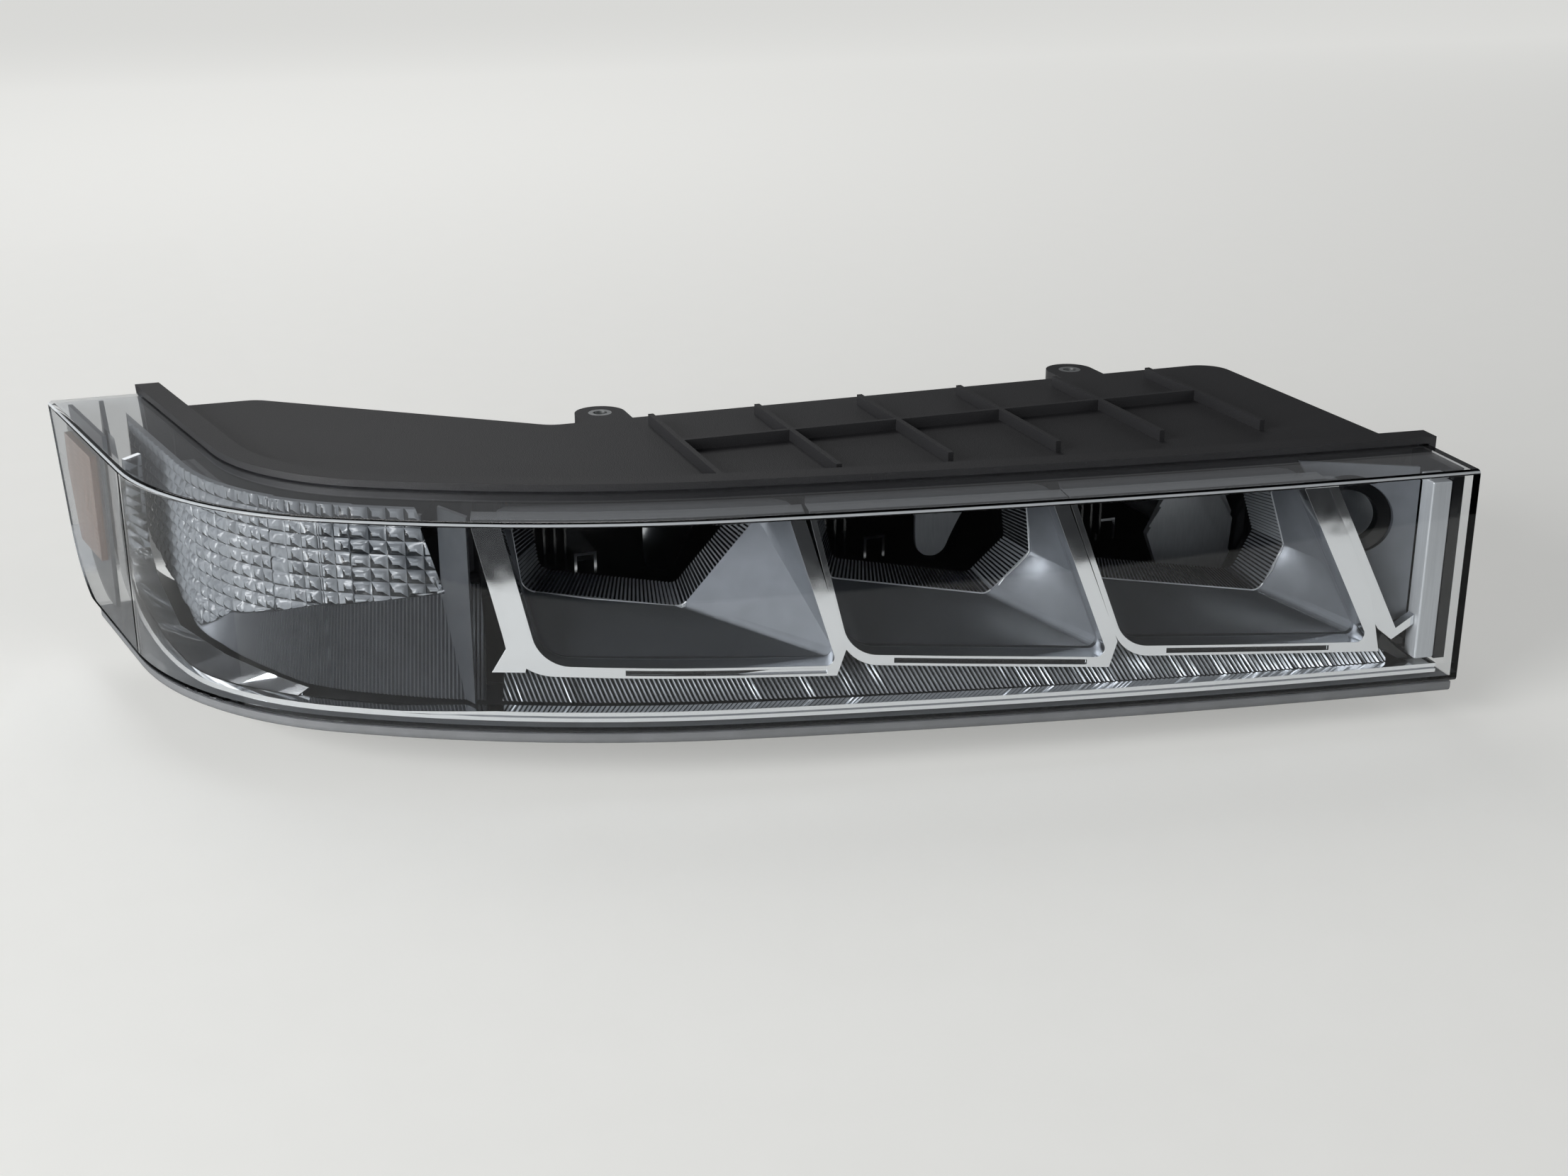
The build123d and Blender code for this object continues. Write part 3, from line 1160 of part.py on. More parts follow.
def aim_frame():
    """Tilting frame that joins the three units and carries the pivot pins and the aim socket."""
    left, right = UNITS[0].x - UNIT_HALF_WIDTH, UNITS[-1].x + UNIT_HALF_WIDTH
    back = UNIT_BACK + FRAME_PLATE
    plate = block((left, right), (UNIT_BACK, back), (UNIT_FOOT + PLATE_INSET, UNIT_TOP - PLATE_INSET))
    wide, tall = SINK_HALF_WIDTH + SINK_GAP, SINK_HALF_HEIGHT + SINK_GAP
    for unit in UNITS:
        window = (unit.x - wide, unit.x + wide), (AXIS_Z - tall, AXIS_Z + tall)
        plate -= block(window[0], (UNIT_BACK - WELD, back + WELD), window[1])
    for end, side in ((left, -1), (right, 1)):
        cheek = sorted((end, end + side * CHEEK_WALL))
        plate += block(cheek, (AXIS_Y - CHEEK_HALF, back), (AXIS_Z - CHEEK_HALF, AXIS_Z + CHEEK_HALF))
        root, tip = end + side * WELD, end + side * PIVOT_REACH
        plate += rod((root, AXIS_Y, AXIS_Z), (tip, AXIS_Y, AXIS_Z), PIVOT_RADIUS)
    cup_back = AIM_BALL_Y + AIM_BALL_RADIUS
    cup = rod((AIM_X, UNIT_BACK, AIM_Z), (AIM_X, cup_back, AIM_Z), AIM_CUP_RADIUS + AIM_CUP_WALL)
    cup -= rod((AIM_X, back, AIM_Z), (AIM_X, cup_back + WELD, AIM_Z), AIM_CUP_RADIUS)
    return plate + cup


def heat_sink(unit):
    """Finned aluminium heat sink on the back of a unit."""
    low, high = AXIS_Z - SINK_HALF_HEIGHT, AXIS_Z + SINK_HALF_HEIGHT
    left, face = unit.x - SINK_HALF_WIDTH, UNIT_BACK + SINK_BASE
    sink = block((left, unit.x + SINK_HALF_WIDTH), (UNIT_BACK, face), (low, high))
    for index in range(SINK_FINS):
        x = left + index * (2 * SINK_HALF_WIDTH - SINK_FIN) / (SINK_FINS - 1)
        sink += block((x, x + SINK_FIN), (face - WELD, UNIT_BACK + SINK_DEPTH), (low, high))
    return sink


def pivots():
    """Two bearing blocks hung from the housing's roof."""
    left = UNITS[0].x - UNIT_HALF_WIDTH - PIVOT_OFFSET
    right = UNITS[-1].x + UNIT_HALF_WIDTH + PIVOT_OFFSET
    return [pivot_block(left), pivot_block(right)]


def adjuster():
    """Aim screw with the barrel-shaped head that sits in the tilting frame's socket."""
    screw = rod((AIM_X, AIM_BALL_Y, AIM_Z), (AIM_X, TRAY_BACK + AIM_BOSS, AIM_Z), AIM_SCREW_RADIUS)
    ends = AIM_BALL_Y - AIM_BALL_RADIUS, AIM_BALL_Y + AIM_BALL_RADIUS
    head = rod((AIM_X, ends[0], AIM_Z), (AIM_X, ends[1], AIM_Z), AIM_BALL_RADIUS)
    return screw + chamfer(head.edges().filter_by(GeomType.CIRCLE), length=AIM_BALL_SLOPE)


def adjuster_knob():
    """Hand wheel of the aim screw."""
    face = TRAY_BACK + AIM_BOSS
    knob = rod((AIM_X, face, AIM_Z), (AIM_X, face + AIM_KNOB_LENGTH, AIM_Z), AIM_KNOB_RADIUS)
    knob += rod((AIM_X, TRAY_BACK, AIM_Z), (AIM_X, face, AIM_Z), AIM_BOSS_RADIUS)
    return knob - rod((AIM_X, TRAY_BACK - WELD, AIM_Z), (AIM_X, face, AIM_Z), AIM_SCREW_RADIUS)


def driver():
    """Light driver module with its finned cover on the rear wall."""
    low, high = DRIVER_Z - DRIVER_HEIGHT / 2, DRIVER_Z + DRIVER_HEIGHT / 2
    left, right = DRIVER_X - DRIVER_WIDTH / 2, DRIVER_X + DRIVER_WIDTH / 2
    face = TRAY_BACK + DRIVER_BODY
    box = block((left, right), (TRAY_BACK, face), (low, high))
    for index in range(DRIVER_FINS):
        x = left + index * (DRIVER_WIDTH - DRIVER_FIN) / (DRIVER_FINS - 1)
        box += block((x, x + DRIVER_FIN), (face - WELD, TRAY_BACK + DRIVER_DEPTH), (low, high))
    return box


def connector():
    """Socket for the vehicle's wiring plug."""
    x = (PLUG_X - PLUG_WIDTH / 2, PLUG_X + PLUG_WIDTH / 2)
    z = (PLUG_Z - PLUG_HEIGHT / 2, PLUG_Z + PLUG_HEIGHT / 2)
    shell = block(x, (TRAY_BACK, TRAY_BACK + PLUG_DEPTH), z)
    mouth = TRAY_BACK + PLUG_DEPTH + WELD
    hollow = block((x[0] + PLUG_WALL, x[1] - PLUG_WALL), (TRAY_BACK + PLUG_FLOOR, mouth),
                   (z[0] + PLUG_WALL, z[1] - PLUG_WALL))
    rim = (x[0] - PLUG_FLANGE, x[1] + PLUG_FLANGE), (z[0] - PLUG_FLANGE, z[1] + PLUG_FLANGE)
    shell += block(rim[0], (TRAY_BACK, TRAY_BACK + PLUG_FLANGE_WALL), rim[1])
    return shell - hollow


def vents():
    """Rubber breather caps on the rear wall, each on a thinner foot."""
    caps = []
    for x, z in VENT_PLACES:
        middle = TRAY_BACK + VENT_LENGTH / 2
        foot = rod((x, TRAY_BACK, z), (x, middle, z), VENT_FOOT)
        caps.append(foot + rod((x, middle - WELD, z), (x, TRAY_BACK + VENT_LENGTH, z), VENT_RADIUS))
    return caps


def gasket():
    """Grey rubber strip under the lens, rounded along its front."""
    strip = wall(GASKET_START, TIP - GASKET_SETBACK, GASKET_FRONT, GASKET_BACK, -SPACE, 0.0)
    strip &= front_prism(front_outline(-SPACE, 0.0, -GASKET_HEIGHT))
    strip = rounded(strip, GASKET_FRONT, lambda x: floor_at(x, -GASKET_HEIGHT), GASKET_ROUND)
    return strip - front_prism(front_outline(-SPACE, 0.0, -SEAT))


os.makedirs("parts", exist_ok=True)
ORIGIN = Vector(*LEDGES[0])

PIECES = {
    "housing": [housing()],
    "fixing_brackets": brackets(),
    "fixing_bushes": bushes(),
    "outer_lens": [outer_lens()],
    "lens_seal": [lens_seal()],
    "lower_gasket": [gasket()],
    "bezel_frames": [frames()],
    "bezel_scoops": scoops(),
    "aperture_collars": collars(),
    "corner_trim": [corner_trim()],
    "corner_bevel": [corner_bevel()],
    "bezel_skirt": [bezel_skirt()],
    "rib_strip": rib_strip(),
    "turn_surround": [surround()],
    "turn_lens": [turn_lens()],
    "turn_chamber": [turn_chamber()],
    "turn_bulb": [bulb()],
    "bulb_holder": [bulb_holder()],
    "side_reflex": [side_reflex()],
    "side_panel": [side_panel()],
    "end_panel": [end_panel()],
    "end_trim": [end_trim()],
    "end_wedge": [end_wedge()],
    "end_ring": [end_ring()],
    "end_cup": [end_cup()],
    "light_bar": [light_bar()],
    "black_end": [black_end()],
    "pivot_blocks": pivots(),
    "aim_screw": [adjuster()],
    "aim_knob": [adjuster_knob()],
    "driver_module": [driver()],
    "wiring_socket": [connector()],
    "vent_caps": vents(),
    "aim_frame": [aim_frame()],
}
for number, unit in enumerate(UNITS, 1):
    PIECES[f"beam_shroud_{number}"] = [unit_shroud(unit)]
    mirror = facet_reflector if number == len(UNITS) else lobe_reflector
    PIECES[f"beam_reflector_{number}"] = [mirror(unit)]
    PIECES[f"light_source_{number}"] = [light_source(unit)]
    PIECES[f"heat_sink_{number}"] = [heat_sink(unit)]

for name, shapes in PIECES.items():
    solids = [solid for shape in shapes for solid in shape.solids()]
    moved = [solid.moved(Location(-ORIGIN)) for solid in solids]
    export_step(moved[0] if len(moved) == 1 else Compound(children=moved), f"parts/{name}.step")
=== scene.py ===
import math

import bpy
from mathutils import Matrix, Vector


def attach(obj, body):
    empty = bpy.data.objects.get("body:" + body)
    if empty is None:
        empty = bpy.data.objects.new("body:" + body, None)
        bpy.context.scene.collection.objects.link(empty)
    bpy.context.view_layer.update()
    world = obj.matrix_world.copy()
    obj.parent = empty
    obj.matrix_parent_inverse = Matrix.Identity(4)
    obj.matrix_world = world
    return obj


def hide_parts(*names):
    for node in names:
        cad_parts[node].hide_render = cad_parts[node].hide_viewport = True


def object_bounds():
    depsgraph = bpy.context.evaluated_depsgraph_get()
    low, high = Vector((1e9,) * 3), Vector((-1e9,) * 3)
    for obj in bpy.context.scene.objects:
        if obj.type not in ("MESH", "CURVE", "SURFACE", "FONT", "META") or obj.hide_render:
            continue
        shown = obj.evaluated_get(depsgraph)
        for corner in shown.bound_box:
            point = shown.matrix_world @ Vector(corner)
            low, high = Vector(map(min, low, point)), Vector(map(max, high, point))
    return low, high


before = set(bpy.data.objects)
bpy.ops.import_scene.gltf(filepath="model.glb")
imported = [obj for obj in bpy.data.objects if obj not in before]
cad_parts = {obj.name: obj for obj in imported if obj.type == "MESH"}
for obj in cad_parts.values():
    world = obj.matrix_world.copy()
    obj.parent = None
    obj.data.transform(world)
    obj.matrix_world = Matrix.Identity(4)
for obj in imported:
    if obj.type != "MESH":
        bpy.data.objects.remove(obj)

cad_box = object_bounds()

# Camera. It stands about a metre in front of the lamp, above its outboard end, and looks down on it at the
# photograph's angle. Its lens is long enough for the lamp alone to fill the frame.
CAMERA_PLACE = (-0.487, -0.911, 0.256)
CAMERA_HEADING = 20.0
CAMERA_DIP = 19.94
CAMERA_LENS = 47.0
SENSOR_WIDTH = 36.0
camera_data = bpy.data.cameras.new("camera")
camera_data.lens = CAMERA_LENS
camera_data.sensor_width = SENSOR_WIDTH
camera = bpy.data.objects.new("camera", camera_data)
bpy.context.scene.collection.objects.link(camera)
camera.location = CAMERA_PLACE
camera.rotation_euler = (math.radians(90 - CAMERA_DIP), 0, math.radians(-CAMERA_HEADING))
bpy.context.scene.camera = camera
bpy.context.scene.view_settings.view_transform = "Standard"

# Floor. A plain pale board under the lamp, matt, so that it only gives a soft bounce from below. It is far
# larger than the view, and it keeps the lamp's shadow. What sees it directly, in metal or through plastic,
# sees it a little paler, and more so the further it lies behind the lamp.
FLOOR_SIZE = 12.0
FLOOR_GAP = 0.0005
FLOOR_COLOUR = "e4e4e1"
FLOOR_SPECKLE = 0.025
FLOOR_LIFT = 0.42
LIFT_REACH = (0.2, 2.6)
LIFT_GROWTH = 1.9


def linear(code):
    """Linear colour of an sRGB hex code."""
    parts = [int(code[i:i + 2], 16) / 255 for i in (0, 2, 4)]
    return [p / 12.92 if p <= 0.04045 else ((p + 0.055) / 1.055) ** 2.4 for p in parts] + [1.0]


def add(tree, kind, settings=(), links=()):
    """Adds a node with its settings and the links into it, each a (socket or property, value) pair."""
    node = tree.nodes.new(kind)
    for key, value in settings:
        if isinstance(key, int) or key in node.inputs:
            node.inputs[key].default_value = value
        else:
            setattr(node, key, value)
    for key, source in links:
        tree.links.new(source, node.inputs[key])
    return node


def finish_of(name):
    """A new material with nothing in it yet, and its tree of nodes."""
    material = bpy.data.materials.new(name)
    material.use_nodes = True
    material.node_tree.nodes.clear()
    return material, material.node_tree


bpy.ops.object.select_all(action="DESELECT")
bpy.ops.mesh.primitive_plane_add(size=FLOOR_SIZE, location=(0, 0, cad_box[0].z - FLOOR_GAP))
floor = bpy.context.object
floor.name = "floor"
board, tree = finish_of("matt_board")
place = add(tree, "ShaderNodeTexCoord").outputs["Object"]
speckle = add(tree, "ShaderNodeTexNoise", [("Scale", 1 / FLOOR_SPECKLE), ("Detail", 4.0)],
              [("Vector", place)])
tone = add(tree, "ShaderNodeMix", [("data_type", "RGBA"), (6, linear(FLOOR_COLOUR)), (7, linear("dededb"))],
           [(0, speckle.outputs["Fac"])])
skin = add(tree, "ShaderNodeBsdfPrincipled", [("Roughness", 0.9)], [("Base Color", tone.outputs[2])])
ray = add(tree, "ShaderNodeLightPath")
direct = add(tree, "ShaderNodeMath", [("operation", "MAXIMUM")],
             [(0, ray.outputs["Is Camera Ray"]), (1, ray.outputs["Is Glossy Ray"])])
seen = add(tree, "ShaderNodeMath", [("operation", "MAXIMUM")],
           [(0, direct.outputs[0]), (1, ray.outputs["Is Transmission Ray"])])
lift = add(tree, "ShaderNodeMath", [("operation", "MULTIPLY"), (1, FLOOR_LIFT)], [(0, seen.outputs[0])])
way = add(tree, "ShaderNodeSeparateXYZ", (), [(0, place)])
far = add(tree, "ShaderNodeMapRange",
          [("From Min", LIFT_REACH[0]), ("From Max", LIFT_REACH[1]),
           ("To Min", 1.0), ("To Max", LIFT_GROWTH)],
          [("Value", way.outputs["Y"])])
grown = add(tree, "ShaderNodeMath", [("operation", "MULTIPLY")], [(0, lift.outputs[0]), (1, far.outputs[0])])
glow = add(tree, "ShaderNodeEmission", [("Color", linear(FLOOR_COLOUR))], [("Strength", grown.outputs[0])])
both = add(tree, "ShaderNodeAddShader", (), [(0, skin.outputs[0]), (1, glow.outputs[0])])
add(tree, "ShaderNodeOutputMaterial", (), [("Surface", both.outputs[0])])
floor.data.materials.append(board)

# Light. A wide soft lamp from the left, and weaker ones from the right and behind, all turned to one point in
# the lamp unit. The surround is pale round the sides, brightest at the left, and dark overhead, as a room
# with a white wall and a high dark ceiling.
KEY = ("key", (-2.2, -0.8, 0.55), 1.3, 48.0)
FILL = ("fill", (1.6, -1.5, 0.9), 1.2, 6.0)
BACK = ("back", (-0.3, 1.7, 1.8), 1.4, 12.0)
LIT_POINT = Vector((-0.15, -0.05, -0.05))
for name, stand, size, power in (KEY, FILL, BACK):
    data = bpy.data.lights.new(name, "AREA")
    data.shape = "SQUARE"
    data.size = size
    data.energy = power
    lamp = bpy.data.objects.new(name, data)
    bpy.context.scene.collection.objects.link(lamp)
    lamp.location = stand
    lamp.rotation_euler = (LIT_POINT - Vector(stand)).to_track_quat("-Z", "Y").to_euler()
world = bpy.data.worlds.new("surround")
bpy.context.scene.world = world
world.use_nodes = True
world.node_tree.nodes.clear()
room = world.node_tree
way = add(room, "ShaderNodeSeparateXYZ", (), [(0, add(room, "ShaderNodeTexCoord").outputs["Generated"])])
overhead = add(room, "ShaderNodeMapRange",
               [("interpolation_type", "SMOOTHSTEP"), ("From Min", 0.12), ("From Max", 0.6)],
               [("Value", way.outputs["Z"])])
walls = add(room, "ShaderNodeMapRange",
            [("From Min", -0.6), ("From Max", 0.7), ("To Min", 1.0), ("To Max", 0.4)],
            [("Value", way.outputs["X"])])
rear = add(room, "ShaderNodeMapRange",
           [("From Min", 0.1), ("From Max", 0.9), ("To Min", 0.85), ("To Max", 0.4)],
           [("Value", way.outputs["Y"])])
level = add(room, "ShaderNodeMath", [("operation", "MULTIPLY")],
            [(0, walls.outputs[0]), (1, rear.outputs[0])])
tone = add(room, "ShaderNodeMix", [("data_type", "RGBA"), (6, linear("eef0f3")), (7, linear("2c2e32"))],
           [(0, overhead.outputs[0])])
sky = add(room, "ShaderNodeBackground", (), [("Color", tone.outputs[2]), ("Strength", level.outputs[0])])
add(room, "ShaderNodeOutputWorld", (), [("Surface", sky.outputs[0])])

# Flags. Two matt black cards on the floor, one between the lamp and the camera, below the view, and one
# beside its outboard end: they give bright metal and clear plastic something dark to mirror, and nothing else
# sees them. The second one isn't seen through the plastic either.
FLAG_GAP = 0.0005
FRONT_FLAG = ("front_flag", (2.4, 1.2), (-0.42, -0.981), -11.6)
SIDE_FLAG = ("side_flag", (1.0, 1.3), (-0.85, 0.55), 0.0)
card, tree = finish_of("matt_black_card")
place = add(tree, "ShaderNodeTexCoord").outputs["Object"]
felt = add(tree, "ShaderNodeTexNoise", [("Scale", 20.0)], [("Vector", place)])
tone = add(tree, "ShaderNodeMix", [("data_type", "RGBA"), (6, linear("1c1d1f")), (7, linear("202123"))],
           [(0, felt.outputs["Fac"])])
skin = add(tree, "ShaderNodeBsdfPrincipled", [("Roughness", 1.0)], [("Base Color", tone.outputs[2])])
add(tree, "ShaderNodeOutputMaterial", (), [("Surface", skin.outputs[0])])
for name, size, spot, turn in (FRONT_FLAG, SIDE_FLAG):
    bpy.ops.mesh.primitive_plane_add(size=1.0, location=(0, 0, 0))
    flag = bpy.context.object
    flag.name = name
    flag.scale = (*size, 1.0)
    flag.location = (*spot, cad_box[0].z + FLAG_GAP)
    flag.rotation_euler = (0, 0, math.radians(turn))
    flag.visible_camera = False
    flag.visible_diffuse = False
    flag.visible_shadow = False
    flag.visible_transmission = name != SIDE_FLAG[0]
    flag.data.materials.append(card)

# Housing. The black moulded tray and rim, with the brackets, bearing blocks, bulb holder, knob, socket and
# tilting frame moulded in the same talc-filled polypropylene, whose tool was etched to a fine grain. The
# blotches are where the talc gathers, and they show as faint changes of colour.
GRAIN = 0.0006
TALC_BLOTCH = 0.05


def paint(material, *pieces):
    """Gives CAD nodes, by name, or pieces their material."""
    for piece in pieces:
        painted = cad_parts[piece] if isinstance(piece, str) else piece
        painted.data.materials.clear()
        painted.data.materials.append(material)


grained, tree = finish_of("moulded_black_polypropylene")
place = add(tree, "ShaderNodeTexCoord").outputs["Object"]
grain = add(tree, "ShaderNodeTexVoronoi", [("Scale", 1 / GRAIN)], [("Vector", place)])
blotch = add(tree, "ShaderNodeTexNoise", [("Scale", 1 / TALC_BLOTCH), ("Detail", 3.0)], [("Vector", place)])
tone = add(tree, "ShaderNodeMix", [("data_type", "RGBA"), (6, linear("202022")), (7, linear("2a2a2c"))],
           [(0, blotch.outputs["Fac"])])
relief = add(tree, "ShaderNodeBump", [("Strength", 0.35), ("Distance", 0.0002)],
             [("Height", grain.outputs["Distance"])])
skin = add(tree, "ShaderNodeBsdfPrincipled", [("Roughness", 0.55), ("IOR", 1.49)],
           [("Base Color", tone.outputs[2]), ("Normal", relief.outputs[0])])
add(tree, "ShaderNodeOutputMaterial", (), [("Surface", skin.outputs[0])])
paint(grained, "housing", "fixing_brackets", "pivot_blocks", "bulb_holder", "aim_knob", "wiring_socket",
      "aim_frame")

# Bushes and aim screw. Turned steel with a bright zinc coat, whose crystals give it a faint mottle of colour
# and gloss. The bushes are pressed into the brackets, and the screw runs from the knob to the tilting frame.
ZINC_MOTTLE = 0.004
zinc, tree = finish_of("zinc_plated_steel")
place = add(tree, "ShaderNodeTexCoord").outputs["Object"]
mottle = add(tree, "ShaderNodeTexNoise", [("Scale", 1 / ZINC_MOTTLE), ("Detail", 5.0)], [("Vector", place)])
tone = add(tree, "ShaderNodeMix", [("data_type", "RGBA"), (6, linear("b9bcbe")), (7, linear("d0d2d1"))],
           [(0, mottle.outputs["Fac"])])
gloss = add(tree, "ShaderNodeMapRange", [("To Min", 0.22), ("To Max", 0.42)],
            [("Value", mottle.outputs["Fac"])])
skin = add(tree, "ShaderNodeBsdfPrincipled", [("Metallic", 1.0)],
           [("Base Color", tone.outputs[2]), ("Roughness", gloss.outputs[0])])
add(tree, "ShaderNodeOutputMaterial", (), [("Surface", skin.outputs[0])])
paint(zinc, "fixing_bushes", "aim_screw")

# Socket pins. Eight tinned blades 1.2 mm square, in two rows, seated in the socket's floor. Their edges are
# chamfered, so that a plug slides on.
PIN_SIDE = 0.0012
PIN_ENDS = (-0.0103, 0.001)
PIN_COLUMNS = (-0.144, -0.138, -0.132, -0.126)
PIN_ROWS = (-0.040, -0.048)
PIN_CHAMFER = 0.0003
CHAMFER_ANGLE = 30


def begun(name):
    """A new piece without any faces yet, open for shaping."""
    bpy.ops.object.select_all(action="DESELECT")
    bpy.ops.mesh.primitive_cube_add(location=(0, 0, 0))
    piece = bpy.context.object
    piece.name = name
    bpy.ops.object.mode_set(mode="EDIT")
    bpy.ops.mesh.delete(type="VERT")
    return piece


def closed(piece, material, width):
    """Ends the shaping of a piece, with its edges chamfered, and fixes it to the lamp."""
    bpy.ops.object.mode_set(mode="OBJECT")
    chamfer = piece.modifiers.new("chamfer", "BEVEL")
    chamfer.width = width
    chamfer.segments = 1
    bpy.ops.object.modifier_apply(modifier=chamfer.name)
    bpy.ops.object.shade_smooth_by_angle(angle=math.radians(CHAMFER_ANGLE))
    paint(material, piece)
    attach(piece, "lamp")


pins = begun("socket_pins")
for x in PIN_COLUMNS:
    for z in PIN_ROWS:
        bpy.ops.mesh.primitive_cube_add(size=1.0, location=(x, sum(PIN_ENDS) / 2, z),
                                        scale=(PIN_SIDE, PIN_ENDS[1] - PIN_ENDS[0], PIN_SIDE))
closed(pins, zinc, PIN_CHAMFER)

# Knob grips. Sixteen round ribs along the aim knob's rim, moulded with it, for the fingers. They are drawn
# with twelve sides each, half sunk in the rim.
GRIP_RADIUS = 0.001
GRIP_SIDES = 12
GRIP_COUNT = 16
GRIP_ENDS = (-0.0075, 0.0002)
GRIP_CHAMFER = 0.0002
KNOB_MIDDLE = (-0.088, -0.018)
KNOB_RADIUS = 0.011
grips = begun("knob_grips")
for index in range(GRIP_COUNT):
    angle = 2 * math.pi * index / GRIP_COUNT
    where = (KNOB_MIDDLE[0] + KNOB_RADIUS * math.cos(angle), sum(GRIP_ENDS) / 2,
             KNOB_MIDDLE[1] + KNOB_RADIUS * math.sin(angle))
    bpy.ops.mesh.primitive_cylinder_add(vertices=GRIP_SIDES, radius=GRIP_RADIUS,
                                        depth=GRIP_ENDS[1] - GRIP_ENDS[0], location=where,
                                        rotation=(math.radians(90), 0, 0))
closed(grips, grained, GRIP_CHAMFER)

# Driver module and heat sinks. Die-cast aluminium, left as cast, with a fine sandy skin and pale flow marks.
# The module sits on the housing's rear wall, and a sink on the back of each beam unit.
SAND_GRAIN = 0.0012
FLOW_MARK = 0.02
cast, tree = finish_of("die_cast_aluminium")
place = add(tree, "ShaderNodeTexCoord").outputs["Object"]
sand = add(tree, "ShaderNodeTexNoise", [("Scale", 1 / SAND_GRAIN), ("Detail", 4.0)], [("Vector", place)])
flow = add(tree, "ShaderNodeTexNoise", [("Scale", 1 / FLOW_MARK), ("Detail", 2.0)], [("Vector", place)])
tone = add(tree, "ShaderNodeMix", [("data_type", "RGBA"), (6, linear("9c9ea1")), (7, linear("b4b6b8"))],
           [(0, flow.outputs["Fac"])])
relief = add(tree, "ShaderNodeBump", [("Strength", 0.4), ("Distance", 0.0003)],
             [("Height", sand.outputs["Fac"])])
skin = add(tree, "ShaderNodeBsdfPrincipled", [("Metallic", 1.0), ("Roughness", 0.5)],
           [("Base Color", tone.outputs[2]), ("Normal", relief.outputs[0])])
add(tree, "ShaderNodeOutputMaterial", (), [("Surface", skin.outputs[0])])
paint(cast, "driver_module", "heat_sink_1", "heat_sink_2", "heat_sink_3")

# Breather caps. Soft black moulded rubber, matt, with a dusty bloom that gathers in small patches. They sit
# on the housing's rear wall, each on a thinner foot.
RUBBER_BLOOM = 0.003
rubber, tree = finish_of("moulded_black_rubber")
place = add(tree, "ShaderNodeTexCoord").outputs["Object"]
bloom = add(tree, "ShaderNodeTexNoise", [("Scale", 1 / RUBBER_BLOOM), ("Detail", 5.0)], [("Vector", place)])
tone = add(tree, "ShaderNodeMix", [("data_type", "RGBA"), (6, linear("1a1a1a")), (7, linear("2b2b2a"))],
           [(0, bloom.outputs["Fac"])])
skin = add(tree, "ShaderNodeBsdfPrincipled", [("Roughness", 0.75), ("IOR", 1.52)],
           [("Base Color", tone.outputs[2])])
add(tree, "ShaderNodeOutputMaterial", (), [("Surface", skin.outputs[0])])
paint(rubber, "vent_caps")

# Sealing strip under the lens, and the bead of sealant in the rim's groove. Grey rubber, matt and a little
# dusty, extruded for the strip and laid in the groove for the bead, which the lens is pressed into.
STRIP_DUST = 0.012
strip_rubber, tree = finish_of("grey_sealing_rubber")
place = add(tree, "ShaderNodeTexCoord").outputs["Object"]
dust = add(tree, "ShaderNodeTexNoise", [("Scale", 1 / STRIP_DUST), ("Detail", 6.0)], [("Vector", place)])
tone = add(tree, "ShaderNodeMix", [("data_type", "RGBA"), (6, linear("6d6f70")), (7, linear("85878a"))],
           [(0, dust.outputs["Fac"])])
skin = add(tree, "ShaderNodeBsdfPrincipled", [("Roughness", 0.7), ("IOR", 1.52)],
           [("Base Color", tone.outputs[2])])
add(tree, "ShaderNodeOutputMaterial", (), [("Surface", skin.outputs[0])])
paint(strip_rubber, "lower_gasket", "lens_seal")

# Black inner pieces. Gloss black mouldings: the beam units' boxes, the end bay's ring and wedge, and the
# panel at the lamp's inboard end. Their polish leaves a faint waviness, which shows only in what they mirror.
BLACK_WAVE = 0.004
gloss_black, tree = finish_of("gloss_black_moulding")
place = add(tree, "ShaderNodeTexCoord").outputs["Object"]
peel = add(tree, "ShaderNodeTexNoise", [("Scale", 1 / BLACK_WAVE), ("Detail", 2.0)], [("Vector", place)])
relief = add(tree, "ShaderNodeBump", [("Strength", 0.08), ("Distance", 0.0004)],
             [("Height", peel.outputs["Fac"])])
skin = add(tree, "ShaderNodeBsdfPrincipled",
           [("Base Color", linear("0e0f11")), ("Roughness", 0.12), ("IOR", 1.5)],
           [("Normal", relief.outputs[0])])
add(tree, "ShaderNodeOutputMaterial", (), [("Surface", skin.outputs[0])])
paint(gloss_black, "beam_shroud_1", "beam_shroud_2", "beam_shroud_3", "end_ring", "end_wedge", "black_end")

# Bright frames. Four blades and three rails in one moulding, vapour-coated with aluminium under a clear
# lacquer, so they mirror their surroundings with a slight waviness. Their front edges are a little round. The
# bottom of the slot in each rail is given the gloss black, a painted dark reflection.
COAT_WAVE = 0.03
COAT_HAZE = 0.006
FRAME_EDGE = 0.0009
MERGE_GAP = 1e-6
FLAT_ANGLE = 1.0
EDGE_ANGLE = 40
SMOOTH_ANGLE = 35
# A point behind the clear front, and the turn of the front there, for each bay
BAY_PLANES = (((-0.26619, -0.17672), 13.932), ((-0.14826, -0.19881), 9.202), ((-0.04137, -0.21416), 7.139))
# Where the slots' bottoms lie, in depth, to the side and in height, and how they face
SLOT_DEPTHS = (0.0105, 0.0114)
SLOT_FROM = -0.29
SLOT_BELOW = -0.06
SLOT_FACING = -0.9


